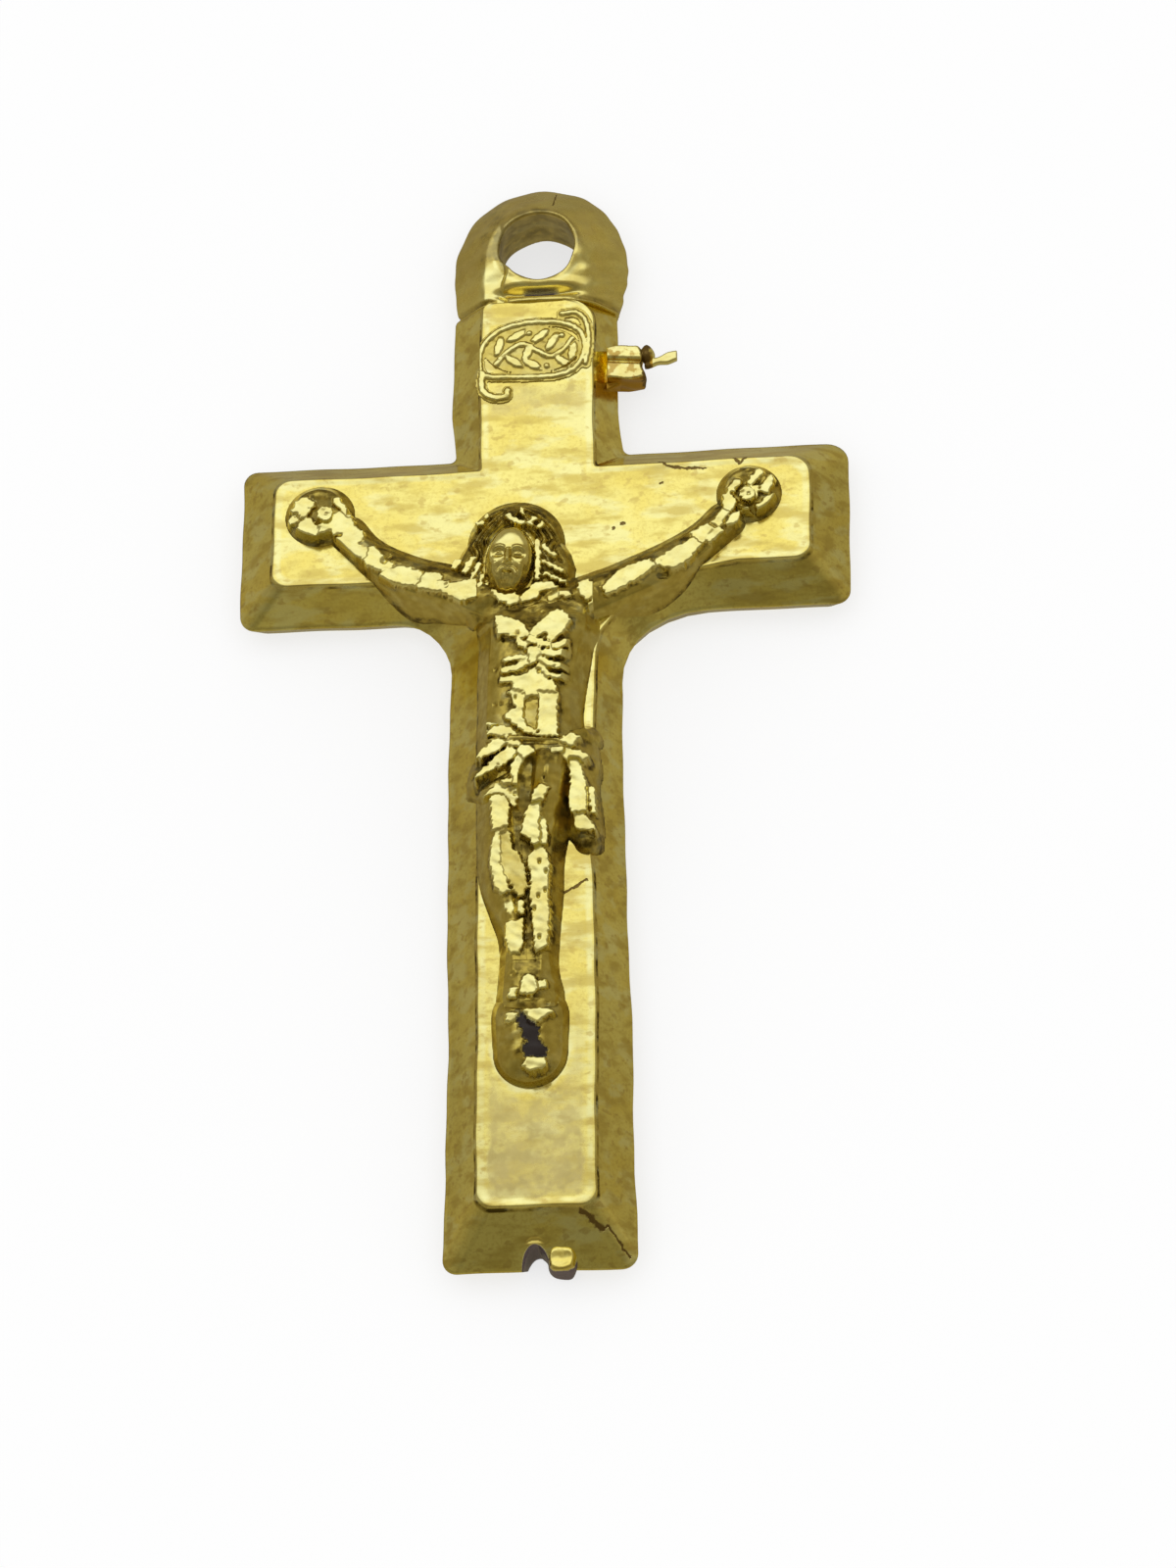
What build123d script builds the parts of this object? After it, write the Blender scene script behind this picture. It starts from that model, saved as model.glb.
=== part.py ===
"""Crucifix pendant of moulded plastic, lying on its back.

The frame: +Z out of the face, +Y towards the hanging eye, +X to the viewer's right.
The origin is in the middle of the outline, on the flat back. All sizes are in millimetres.
"""

import os
from build123d import *

# Cross: the stem's two lengths meet at the middle of the arms
LOWER_STEM_LENGTH = 28.08
UPPER_STEM_LENGTH = 9.22
STEM_WIDTH_FOOT = 6.7
STEM_WIDTH_TOP = 6.18
ARM_SPAN = 22.0
ARM_WIDTH = 6.48
BACK_DEPTH = 0.9
BACK_DRAFT = 0.33
BEVEL_HEIGHT = 1.3
FACE_STEM_WIDTH = 4.16
ARM_BEVEL = 1.04
ARM_END_BEVEL = 1.3
FOOT_BEVEL = 1.84
TOP_BEVEL = 0.12
CORNER_RADIUS = 0.55
UPPER_CORNER_RADIUS = 0.25
LOWER_LEFT_RADIUS = 1.3
LOWER_RIGHT_RADIUS = 3.0
NOTCH_WIDTH = 0.64
NOTCH_DEPTH = 0.5
NOTCH_X = -0.13

# Hanging eye
EYE_RADIUS = 3.25
EYE_HOLE_RADIUS = 1.45
EYE_RISE = 2.15
EYE_THICKNESS = 2.3
EYE_LIFT = 0.05
EYE_ROUNDING = 0.9
EYE_HOLE_ROUNDING = 0.45

# Title scroll: a flat oval plate with a raised band and two curled ends
SCROLL_X = -0.13
SCROLL_DROP = 2.15
SCROLL_WIDTH = 3.85
SCROLL_HEIGHT = 2.4
SCROLL_BAND = 0.24
SCROLL_PLATE_THICKNESS = 0.1
SCROLL_BAND_THICKNESS = 0.2
SCROLL_CURL = 0.62

# Gate remnants
SIDE_GATE_DROP = 2.35
SIDE_GATE_WIDTH = 1.3
SIDE_GATE_HEIGHT = 1.1
SIDE_GATE_REACH = 1.25
SIDE_GATE_TAPER = 0.6
SLIVER_REACH = 0.75
SLIVER_WIDTH = 0.42
SLIVER_THICKNESS = 0.22
FOOT_GATE_REACH = 0.15
FOOT_GATE_WIDTH = 0.9
FOOT_GATE_HEIGHT = 0.62
FOOT_GATE_X = 0.62
FOOT_GATE_DEPTH = 0.75
FOOT_GATE_TAPER = 12.0

# Figure: the walls of the relief lean in by this share of their height, as a mould needs,
# and the relief keeps this far above the parting edge
WALL_DRAFT = 0.14
RIM_LAND = 0.05
HEAD_X = -0.88
HEAD_DROP = 2.05
HEAD_TILT = 5.0
HEAD_HALF_WIDTH = 0.74
HEAD_HALF_LENGTH = 1.45
HEAD_AXIS_HEIGHT = 1.1
NOSE_LENGTH = 0.75
NOSE_RADIUS = 0.16
KNOT_X = 1.6
KNOT_DROP = 9.15
KNOT_HALF_WIDTH = 0.45
KNOT_HALF_LENGTH = 0.62
KNOT_AXIS_HEIGHT = 0.95
NAIL_RADIUS = 0.36
NAIL_HEIGHT = 1.0
RIGHT_PALM = (-7.56, 0.31)
LEFT_PALM = (7.61, 0.29)

# Heights and places that follow from the sizes above
overall_length = FOOT_GATE_REACH + LOWER_STEM_LENGTH + UPPER_STEM_LENGTH + EYE_RISE + EYE_RADIUS
foot_y = FOOT_GATE_REACH - overall_length / 2
beam_y = foot_y + LOWER_STEM_LENGTH
stem_top_y = beam_y + UPPER_STEM_LENGTH
face_z = BACK_DEPTH + BEVEL_HEIGHT


def cross_outline(foot_half, top_half, span_half, arm_half, foot, top):
    """Twelve corners of a cross, anticlockwise from the left of the foot."""
    low = beam_y - arm_half
    high = beam_y + arm_half
    lower_half = foot_half + (top_half - foot_half) * (low - foot) / (top - foot)
    upper_half = foot_half + (top_half - foot_half) * (high - foot) / (top - foot)
    right_side = [
        (foot_half, foot),
        (lower_half, low),
        (span_half, low),
        (span_half, high),
        (upper_half, high),
        (top_half, top),
    ]
    left_side = [(-x, y) for x, y in reversed(right_side)]
    return right_side + left_side


def corner_radii(inset):
    """Corner radii of an outline that lies inside the parting edge by an inset."""
    return [
        CORNER_RADIUS,
        LOWER_RIGHT_RADIUS + inset,
        CORNER_RADIUS,
        CORNER_RADIUS,
        UPPER_CORNER_RADIUS + inset,
        UPPER_CORNER_RADIUS,
        UPPER_CORNER_RADIUS,
        UPPER_CORNER_RADIUS + inset,
        CORNER_RADIUS,
        CORNER_RADIUS,
        LOWER_LEFT_RADIUS + inset,
        CORNER_RADIUS,
    ]


parting_outline = cross_outline(
    STEM_WIDTH_FOOT / 2, STEM_WIDTH_TOP / 2, ARM_SPAN / 2, ARM_WIDTH / 2, foot_y, stem_top_y
)
back_outline = cross_outline(
    STEM_WIDTH_FOOT / 2 - BACK_DRAFT,
    STEM_WIDTH_TOP / 2 - BACK_DRAFT,
    ARM_SPAN / 2 - BACK_DRAFT,
    ARM_WIDTH / 2 - BACK_DRAFT,
    foot_y + BACK_DRAFT,
    stem_top_y,
)
face_outline = cross_outline(
    FACE_STEM_WIDTH / 2,
    FACE_STEM_WIDTH / 2,
    ARM_SPAN / 2 - ARM_END_BEVEL,
    ARM_WIDTH / 2 - ARM_BEVEL,
    foot_y + FOOT_BEVEL,
    stem_top_y - TOP_BEVEL,
)

# Cross: a drafted underside up to the parting edge, and bevels from there up to the flat face
with BuildPart() as cross_body:
    with BuildSketch(Plane.XY):
        with BuildLine():
            FilletPolyline(*back_outline, radius=corner_radii(BACK_DRAFT), close=True)
        make_face()
    with BuildSketch(Plane.XY.offset(BACK_DEPTH)):
        with BuildLine():
            FilletPolyline(*parting_outline, radius=corner_radii(0), close=True)
        make_face()
    loft(ruled=True)
    with BuildSketch(Plane.XY.offset(BACK_DEPTH)):
        with BuildLine():
            FilletPolyline(*parting_outline, radius=corner_radii(0), close=True)
        make_face()
    with BuildSketch(Plane.XY.offset(face_z)):
        with BuildLine():
            FilletPolyline(*face_outline, radius=corner_radii(ARM_BEVEL), close=True)
        make_face()
    loft(ruled=True)
    with BuildSketch(Plane.XY):
        with Locations((NOTCH_X, foot_y)):
            SlotOverall(2 * NOTCH_DEPTH, NOTCH_WIDTH, rotation=90)
    extrude(amount=face_z, mode=Mode.SUBTRACT)
cross_body.part.label = "cross_body"

# Hanging eye: a thick loop with rounded rims, on a neck that carries on the section of the stem
eye_y = stem_top_y + EYE_RISE
loop_middle = (EYE_RADIUS + EYE_HOLE_RADIUS) / 2
with BuildPart() as hanging_eye:
    with BuildSketch(Plane((0, stem_top_y, 0), x_dir=(-1, 0, 0), z_dir=(0, 1, 0))):
        with BuildLine():
            Polyline(
                (STEM_WIDTH_TOP / 2 - BACK_DRAFT, 0),
                (STEM_WIDTH_TOP / 2, BACK_DEPTH),
                (FACE_STEM_WIDTH / 2, face_z),
                (-FACE_STEM_WIDTH / 2, face_z),
                (-STEM_WIDTH_TOP / 2, BACK_DEPTH),
                (BACK_DRAFT - STEM_WIDTH_TOP / 2, 0),
                close=True,
            )
        make_face()
    extrude(amount=EYE_RISE)
    with BuildSketch(Plane.XY):
        with Locations((0, eye_y)):
            Circle(loop_middle)
    extrude(amount=face_z, mode=Mode.SUBTRACT)
    with BuildSketch(Plane((0, eye_y, EYE_LIFT), x_dir=(1, 0, 0), z_dir=(0, -1, 0))) as loop_section:
        with Locations((loop_middle, 0)):
            Rectangle(EYE_RADIUS - EYE_HOLE_RADIUS, EYE_THICKNESS, align=(Align.CENTER, Align.MIN))
        fillet(loop_section.vertices().group_by(Axis.X)[-1], EYE_ROUNDING)
        fillet(loop_section.vertices().group_by(Axis.X)[0], EYE_HOLE_ROUNDING)
    revolve(axis=Axis((0, eye_y, 0), (0, 0, 1)))
    with BuildSketch(Plane.XY):
        with Locations((0, stem_top_y)):
            Rectangle(2 * ARM_SPAN, EYE_RADIUS, align=(Align.CENTER, Align.MAX))
    extrude(amount=EYE_LIFT + EYE_THICKNESS, mode=Mode.SUBTRACT)
hanging_eye.part.label = "hanging_eye"

# Title scroll: an oval plate inside a raised band, its lower left and upper right ends rolled back
scroll_y = stem_top_y - SCROLL_DROP
scroll_end = SCROLL_WIDTH / 2 - SCROLL_HEIGHT / 2
scroll_side = SCROLL_HEIGHT / 2 - SCROLL_BAND / 2
scroll_plane = Plane.XY.offset(face_z).shift_origin((SCROLL_X, scroll_y, face_z))
with BuildPart() as title_scroll:
    with BuildSketch(scroll_plane):
        SlotOverall(SCROLL_WIDTH, SCROLL_HEIGHT)
    extrude(amount=SCROLL_PLATE_THICKNESS)
    with BuildSketch(scroll_plane):
        SlotOverall(SCROLL_WIDTH, SCROLL_HEIGHT)
        SlotOverall(SCROLL_WIDTH - 2 * SCROLL_BAND, SCROLL_HEIGHT - 2 * SCROLL_BAND, mode=Mode.SUBTRACT)
        for side in (-1, 1):
            with BuildLine() as rolled_end:
                roll = CenterArc(
                    (side * (scroll_end + scroll_side - SCROLL_CURL), side * scroll_side),
                    SCROLL_CURL,
                    0 if side > 0 else 180,
                    120,
                )
                Line(roll @ 0, (side * (scroll_end + scroll_side), 0))
            trace(line_width=SCROLL_BAND)
    extrude(amount=SCROLL_BAND_THICKNESS)
title_scroll.part.label = "title_scroll"

# Figure: every form is a row of arched sections, square to its own middle line. A station holds
# the place from the crossing (x, y), the half width at the face, and the wall and crown heights
seat_depth = BEVEL_HEIGHT


def relief(stations):
    """Lofts arched sections along a middle line that lies on the face."""
    with BuildPart() as form:
        for index, (x, y, half_width, wall, crown) in enumerate(stations):
            before = stations[max(index - 1, 0)]
            after = stations[min(index + 1, len(stations) - 1)]
            along = Vector(after[0] - before[0], after[1] - before[1], 0).normalized()
            across = Vector(-along.Y, along.X, 0)
            top_half = half_width - WALL_DRAFT * wall
            foot_half = half_width + WALL_DRAFT * seat_depth
            with BuildSketch(Plane((x, beam_y + y, face_z), x_dir=across, z_dir=along)):
                with BuildLine():
                    Polyline(
                        (top_half, wall),
                        (foot_half, -seat_depth),
                        (-foot_half, -seat_depth),
                        (-top_half, wall),
                    )
                    EllipticalCenterArc((0, wall), top_half, crown, 0, arc_size=180)
                make_face()
        loft()
    return form.part


def egg(x, y, height, half_width, half_length, tilt):
    """A rounded lump, its long axis along Y and leaning by a tilt in degrees."""
    with BuildPart() as lump:
        plane = Plane((x, beam_y + y, face_z + height)).rotated((0, 0, tilt))
        with BuildSketch(plane):
            with BuildLine():
                EllipticalCenterArc((0, 0), half_width, half_length, -90, arc_size=180)
                Line((0, -half_length), (0, half_length))
            make_face()
        revolve(axis=Axis(plane.origin, plane.y_dir))
    return lump.part


# Space over the cross, inside its parting edge, that the mould leaves for the relief
with BuildPart() as relief_space:
    with BuildSketch(Plane.XY.offset(BACK_DEPTH + RIM_LAND)):
        with BuildLine():
            FilletPolyline(*parting_outline, radius=corner_radii(0), close=True)
        make_face()
    extrude(amount=STEM_WIDTH_FOOT)

# Torso: shoulders, swelling rib cage and drawn-in belly
with BuildPart() as torso:
    add(
        relief(
            [
                (-0.1, -2.75, 1.5, 0.35, 0.6),
                (0.05, -3.6, 2.0, 0.55, 0.85),
                (0.15, -4.7, 1.92, 0.6, 0.95),
                (0.2, -5.9, 1.76, 0.55, 0.85),
                (0.22, -7.1, 1.6, 0.5, 0.75),
                (0.2, -8.2, 1.56, 0.5, 0.75),
                (0.1, -9.4, 1.7, 0.5, 0.75),
            ]
        )
    )
    add(cross_body.part, mode=Mode.SUBTRACT)
torso.part.label = "torso"

# Arms: raised from the shoulders to open hands, each named from the figure's own side
with BuildPart() as right_arm:
    add(
        relief(
            [
                (-1.5, -3.2, 0.95, 0.4, 0.6),
                (-3.1, -2.55, 0.85, 0.38, 0.55),
                (-4.25, -2.2, 0.85, 0.36, 0.52),
                (-5.5, -1.55, 0.78, 0.34, 0.48),
                (-6.35, -0.75, 0.69, 0.3, 0.44),
                (-6.9, -0.1, 0.74, 0.28, 0.42),
                (-7.5, 0.55, 1.02, 0.28, 0.42),
                (-8.2, 0.98, 1.02, 0.28, 0.38),
                (-8.9, 1.3, 0.75, 0.24, 0.3),
            ]
        )
    )
    add(relief_space.part, mode=Mode.INTERSECT)
    add(cross_body.part, mode=Mode.SUBTRACT)
    add(torso.part, mode=Mode.SUBTRACT)
right_arm.part.label = "right_arm"

with BuildPart() as left_arm:
    add(
        relief(
            [
                (1.55, -3.3, 0.95, 0.4, 0.6),
                (2.9, -2.8, 0.92, 0.38, 0.55),
                (3.8, -2.45, 0.92, 0.36, 0.52),
                (4.9, -1.85, 0.88, 0.34, 0.48),
                (6.0, -1.05, 0.76, 0.3, 0.44),
                (6.7, -0.45, 0.72, 0.28, 0.42),
                (7.3, 0.2, 0.98, 0.28, 0.42),
                (8.0, 0.9, 0.98, 0.28, 0.38),
                (8.55, 1.4, 0.7, 0.24, 0.3),
            ]
        )
    )
    add(relief_space.part, mode=Mode.INTERSECT)
    add(cross_body.part, mode=Mode.SUBTRACT)
    add(torso.part, mode=Mode.SUBTRACT)
left_arm.part.label = "left_arm"

# Head: bowed to the figure's right, with hair to the shoulders and a plain bearded face
with BuildPart() as head:
    add(
        relief(
            [
                (-0.76, 0.8, 0.5, 0.2, 0.25),
                (-0.74, 0.27, 1.3, 0.4, 0.6),
                (-0.74, -0.45, 1.68, 0.5, 0.8),
                (-0.8, -1.3, 1.9, 0.5, 0.8),
                (-0.82, -2.1, 1.98, 0.45, 0.75),
                (-0.8, -2.75, 1.75, 0.4, 0.65),
            ]
        )
    )
    add(egg(HEAD_X, -HEAD_DROP, HEAD_AXIS_HEIGHT, HEAD_HALF_WIDTH, HEAD_HALF_LENGTH, -HEAD_TILT))
    add(
        egg(
            HEAD_X,
            -HEAD_DROP,
            HEAD_AXIS_HEIGHT + HEAD_HALF_WIDTH,
            NOSE_RADIUS,
            NOSE_LENGTH / 2,
            -HEAD_TILT,
        )
    )
    add(cross_body.part, mode=Mode.SUBTRACT)
    add(torso.part, mode=Mode.SUBTRACT)
    add(right_arm.part, mode=Mode.SUBTRACT)
    add(left_arm.part, mode=Mode.SUBTRACT)
head.part.label = "head"

# Legs: the left knee stands forward and the shins close in towards the ankles
with BuildPart() as left_leg:
    add(
        relief(
            [
                (0.5, -9.5, 0.9, 0.6, 0.75),
                (0.36, -10.4, 0.95, 0.8, 1.0),
                (0.33, -11.9, 0.79, 0.65, 0.8),
                (0.33, -13.45, 0.72, 0.5, 0.7),
                (0.31, -14.95, 0.63, 0.45, 0.62),
                (0.28, -16.05, 0.53, 0.4, 0.55),
                (0.22, -17.4, 0.49, 0.35, 0.5),
            ]
        )
    )
    add(cross_body.part, mode=Mode.SUBTRACT)
    add(torso.part, mode=Mode.SUBTRACT)
left_leg.part.label = "left_leg"

with BuildPart() as right_leg:
    add(
        relief(
            [
                (-1.15, -10.2, 0.75, 0.5, 0.75),
                (-1.28, -11.5, 0.65, 0.5, 0.75),
                (-1.2, -13.0, 0.6, 0.45, 0.65),
                (-1.02, -14.5, 0.6, 0.4, 0.6),
                (-0.85, -16.0, 0.5, 0.35, 0.55),
                (-0.72, -17.4, 0.49, 0.35, 0.5),
            ]
        )
    )
    add(cross_body.part, mode=Mode.SUBTRACT)
    add(torso.part, mode=Mode.SUBTRACT)
    add(left_leg.part, mode=Mode.SUBTRACT)
right_leg.part.label = "right_leg"

# Loincloth: wrapped round the hips in slanting folds, knotted at the left hip with a hanging end
with BuildPart() as loincloth:
    add(
        relief(
            [
                (0.0, -7.75, 2.15, 0.35, 0.3),
                (-0.03, -8.5, 2.3, 0.5, 0.55),
                (-0.08, -9.3, 2.4, 0.6, 0.85),
                (-0.15, -10.1, 2.42, 0.6, 0.9),
                (-0.1, -10.9, 2.3, 0.5, 0.7),
            ]
        )
    )
    for fold_in, fold_out in (
        ((0.3, -9.15), (-2.1, -9.35)),
        ((0.3, -9.45), (-2.15, -10.2)),
        ((0.2, -9.8), (-1.9, -10.95)),
    ):
        middle = ((fold_in[0] + fold_out[0]) / 2, (fold_in[1] + fold_out[1]) / 2)
        add(relief([(*fold_in, 0.42, 1.15, 0.3), (*middle, 0.44, 1.1, 0.36), (*fold_out, 0.36, 0.55, 0.3)]))
    add(
        relief(
            [
                (1.75, -9.4, 0.5, 0.6, 0.45),
                (1.72, -10.1, 0.5, 0.55, 0.45),
                (1.67, -11.25, 0.6, 0.5, 0.42),
                (1.73, -12.4, 0.66, 0.45, 0.4),
                (1.86, -13.1, 0.42, 0.35, 0.3),
            ]
        )
    )
    add(egg(KNOT_X, -KNOT_DROP, KNOT_AXIS_HEIGHT, KNOT_HALF_WIDTH, KNOT_HALF_LENGTH, 90))
    add(cross_body.part, mode=Mode.SUBTRACT)
    add(torso.part, mode=Mode.SUBTRACT)
    add(left_leg.part, mode=Mode.SUBTRACT)
    add(right_leg.part, mode=Mode.SUBTRACT)
loincloth.part.label = "loincloth"

# Feet: laid one over the other at the end of the shins
with BuildPart() as feet:
    add(
        relief(
            [
                (-0.25, -17.2, 0.95, 0.3, 0.45),
                (-0.25, -17.9, 1.02, 0.4, 0.65),
                (-0.22, -18.5, 1.08, 0.4, 0.7),
                (-0.2, -19.1, 0.95, 0.3, 0.5),
            ]
        )
    )
    add(cross_body.part, mode=Mode.SUBTRACT)
    add(left_leg.part, mode=Mode.SUBTRACT)
    add(right_leg.part, mode=Mode.SUBTRACT)
feet.part.label = "feet"

# Foot rest: an oval block under the feet
with BuildPart() as foot_rest:
    add(
        relief(
            [
                (-0.22, -18.3, 1.2, 0.3, 0.3),
                (-0.2, -19.1, 1.28, 0.4, 0.5),
                (-0.19, -20.1, 1.3, 0.4, 0.58),
                (-0.17, -20.9, 1.24, 0.35, 0.5),
                (-0.12, -21.45, 0.95, 0.28, 0.36),
                (-0.1, -21.85, 0.45, 0.18, 0.2),
            ]
        )
    )
    add(cross_body.part, mode=Mode.SUBTRACT)
    add(feet.part, mode=Mode.SUBTRACT)
foot_rest.part.label = "foot_rest"

# Nail heads: a low dome in each palm
with BuildPart() as hand_nails:
    for palm_x, palm_y in (RIGHT_PALM, LEFT_PALM):
        with BuildSketch(Plane.XY.offset(face_z)):
            with Locations((palm_x, beam_y + palm_y)):
                Circle(NAIL_RADIUS)
    extrude(amount=NAIL_HEIGHT)
    fillet(hand_nails.faces().group_by(Axis.Z)[-1].edges(), NAIL_RADIUS / 2)
    add(right_arm.part, mode=Mode.SUBTRACT)
    add(left_arm.part, mode=Mode.SUBTRACT)
hand_nails.part.label = "hand_nails"

# Side gate: a broken runner that tapers out of the right bevel of the upper stem into a thin sliver
gate_y = stem_top_y - SIDE_GATE_DROP
gate_root_x = FACE_STEM_WIDTH / 2
gate_break_x = STEM_WIDTH_TOP / 2 + SIDE_GATE_REACH
with BuildPart() as side_gate:
    for gate_x, share in ((gate_root_x, 1), (gate_break_x, SIDE_GATE_TAPER)):
        with BuildSketch(Plane((gate_x, gate_y, BACK_DEPTH), x_dir=(0, 1, 0), z_dir=(1, 0, 0))):
            Rectangle(SIDE_GATE_WIDTH * share, SIDE_GATE_HEIGHT * share, align=(Align.CENTER, Align.MIN))
    loft()
    with BuildSketch(Plane((gate_break_x, gate_y, BACK_DEPTH), x_dir=(0, 1, 0), z_dir=(1, 0, 0))):
        Rectangle(SLIVER_WIDTH, SLIVER_THICKNESS, align=(Align.CENTER, Align.MIN))
    extrude(amount=SLIVER_REACH)
    add(cross_body.part, mode=Mode.SUBTRACT)
side_gate.part.label = "side_gate"

# Foot gate: a torn lump on the foot bevel, standing a little past the foot edge
with BuildPart() as foot_gate:
    with BuildSketch(Plane.XY.offset(BACK_DEPTH)):
        with Locations((FOOT_GATE_X, foot_y - FOOT_GATE_REACH)):
            Rectangle(FOOT_GATE_WIDTH, FOOT_GATE_DEPTH + FOOT_GATE_REACH, align=(Align.CENTER, Align.MIN))
    extrude(amount=FOOT_GATE_HEIGHT, taper=FOOT_GATE_TAPER)
    add(cross_body.part, mode=Mode.SUBTRACT)
foot_gate.part.label = "foot_gate"

os.makedirs("parts", exist_ok=True)
for piece in (
    cross_body,
    hanging_eye,
    title_scroll,
    head,
    torso,
    right_arm,
    left_arm,
    loincloth,
    right_leg,
    left_leg,
    feet,
    foot_rest,
    hand_nails,
    side_gate,
    foot_gate,
):
    export_step(piece.part, f"parts/{piece.part.label}.step")
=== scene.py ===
import math
import bpy
import numpy as np
from mathutils import Matrix, Vector


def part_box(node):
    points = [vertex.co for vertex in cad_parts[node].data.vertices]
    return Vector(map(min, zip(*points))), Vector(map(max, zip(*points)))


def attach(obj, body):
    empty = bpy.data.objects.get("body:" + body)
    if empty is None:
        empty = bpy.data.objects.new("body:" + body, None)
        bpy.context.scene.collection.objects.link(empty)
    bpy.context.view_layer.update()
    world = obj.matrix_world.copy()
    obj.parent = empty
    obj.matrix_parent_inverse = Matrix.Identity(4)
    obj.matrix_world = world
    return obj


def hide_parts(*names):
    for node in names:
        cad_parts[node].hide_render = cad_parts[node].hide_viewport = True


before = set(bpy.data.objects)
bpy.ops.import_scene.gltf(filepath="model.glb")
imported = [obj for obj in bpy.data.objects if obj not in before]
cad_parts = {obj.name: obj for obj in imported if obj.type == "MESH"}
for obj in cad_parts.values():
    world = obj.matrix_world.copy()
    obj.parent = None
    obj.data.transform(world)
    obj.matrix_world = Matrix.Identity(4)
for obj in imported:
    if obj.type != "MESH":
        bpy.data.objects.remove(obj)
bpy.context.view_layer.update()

# Cross body
# The plain cross that carries everything: a flat back, a parting edge all round and bevels up to a flat
# face. It is polystyrene from a two-part mould, so both sides lean in, under a bright gold coat.
MM = 0.001
body_low, body_high = [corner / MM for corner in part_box("cross_body")]
foot_y, stem_top_y, face_z = body_low.y, body_high.y, body_high.z
crossing_y = foot_y + 28.08
parting_z = 0.9
parting_size = {
    "foot_half": 3.35, "top_half": 2.99, "span_half": body_high.x, "arm_half": 3.24,
    "foot": foot_y, "top": stem_top_y,
}
face_size = {
    "foot_half": 2.08, "top_half": 2.08, "span_half": body_high.x - 1.3, "arm_half": 2.2,
    "foot": foot_y + 1.84, "top": stem_top_y - 0.12,
}
back_draft = 0.33
notch_x, notch_half_width, notch_depth = -0.12, 0.43, 0.78
lip_z, lip_width = 1.42, 0.22
edge_points = [44, 22, 16, 22, 16, 14, 16, 22, 16, 22, 44, 110]
arc_points = 8


def cross_ring(size, inset=0.0):
    """Points round a cross, anticlockwise from the right of the foot, with every corner rounded."""
    low, high = crossing_y - size["arm_half"] + inset, crossing_y + size["arm_half"] - inset
    foot, top = size["foot"] + inset, size["top"]
    span = size["span_half"] - inset

    def stem_half(y):
        share = (y - size["foot"]) / (size["top"] - size["foot"])
        return size["foot_half"] + (size["top_half"] - size["foot_half"]) * share - inset

    right = [(stem_half(foot), foot), (stem_half(low), low), (span, low), (span, high),
             (stem_half(high), high), (stem_half(top), top)]
    corners = np.array(right + [(-x, y) for x, y in reversed(right)])
    outer, depth = 0.55, parting_size["arm_half"] - size["arm_half"] + inset
    upper = 0.25 - 0.1 * depth
    radii = [outer, 2.7 + 1.3 * depth, outer, 0.75, upper, 0.3 + 0.6 * min(depth, 1)]
    radii += [0.3, upper, outer, outer, 2.1 + 0.3 * depth, outer]
    arcs = []
    for index, radius in enumerate(radii):
        corner = corners[index]
        into = corner - corners[index - 1]
        out = corners[(index + 1) % len(corners)] - corner
        into, out = into / np.linalg.norm(into), out / np.linalg.norm(out)
        turn = math.atan2(into[0] * out[1] - into[1] * out[0], into @ out)
        start = corner - into * radius * math.tan(abs(turn) / 2)
        side = np.array([-into[1], into[0]]) * math.copysign(radius, turn)
        angles = np.linspace(0, turn, arc_points)[:, None]
        spoke = -side
        turned = np.hstack([spoke[0] * np.cos(angles) - spoke[1] * np.sin(angles),
                            spoke[0] * np.sin(angles) + spoke[1] * np.cos(angles)])
        arcs.append(start + side + turned)
    ring = []
    for index, count in enumerate(edge_points):
        next_arc = arcs[(index + 1) % len(arcs)]
        ring += [arcs[index], np.linspace(arcs[index][-1], next_arc[0], count + 2)[1:-1]]
    return np.vstack(ring)


def between(first, second, share):
    return first + (second - first) * share


stem_lean, face_lean, stem_waist, arm_shift, mould_slip = -0.16, -0.2, 0.07, 0.13, 0.2


def aside(x, y, share):
    """How far the cross lies off true: the stem under the arms to the left, the arms' ends to the right.

    The share runs from 0 at the parting edge to 1 on the face, which is off only on the right of the stem.
    """
    below = crossing_y - y
    stem = np.clip((below - 2.6) / 1.5, 0, 1) * np.clip((5.5 - np.abs(x)) / 1.5, 0, 1)
    edge_lean = stem_lean * np.clip((20 - below) / 8, 0, 1)
    lean = between(edge_lean, face_lean * np.exp(-(((below - 12) / 2.2) ** 2)) * (x > 0), share)
    waist = stem_waist * (1 - share) * np.clip((y - foot_y - 0.5) / 3, 0, 1)
    return stem * (lean - waist * np.sign(x)) + arm_shift * np.clip((np.abs(x) - 5) / 3, 0, 1)


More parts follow.
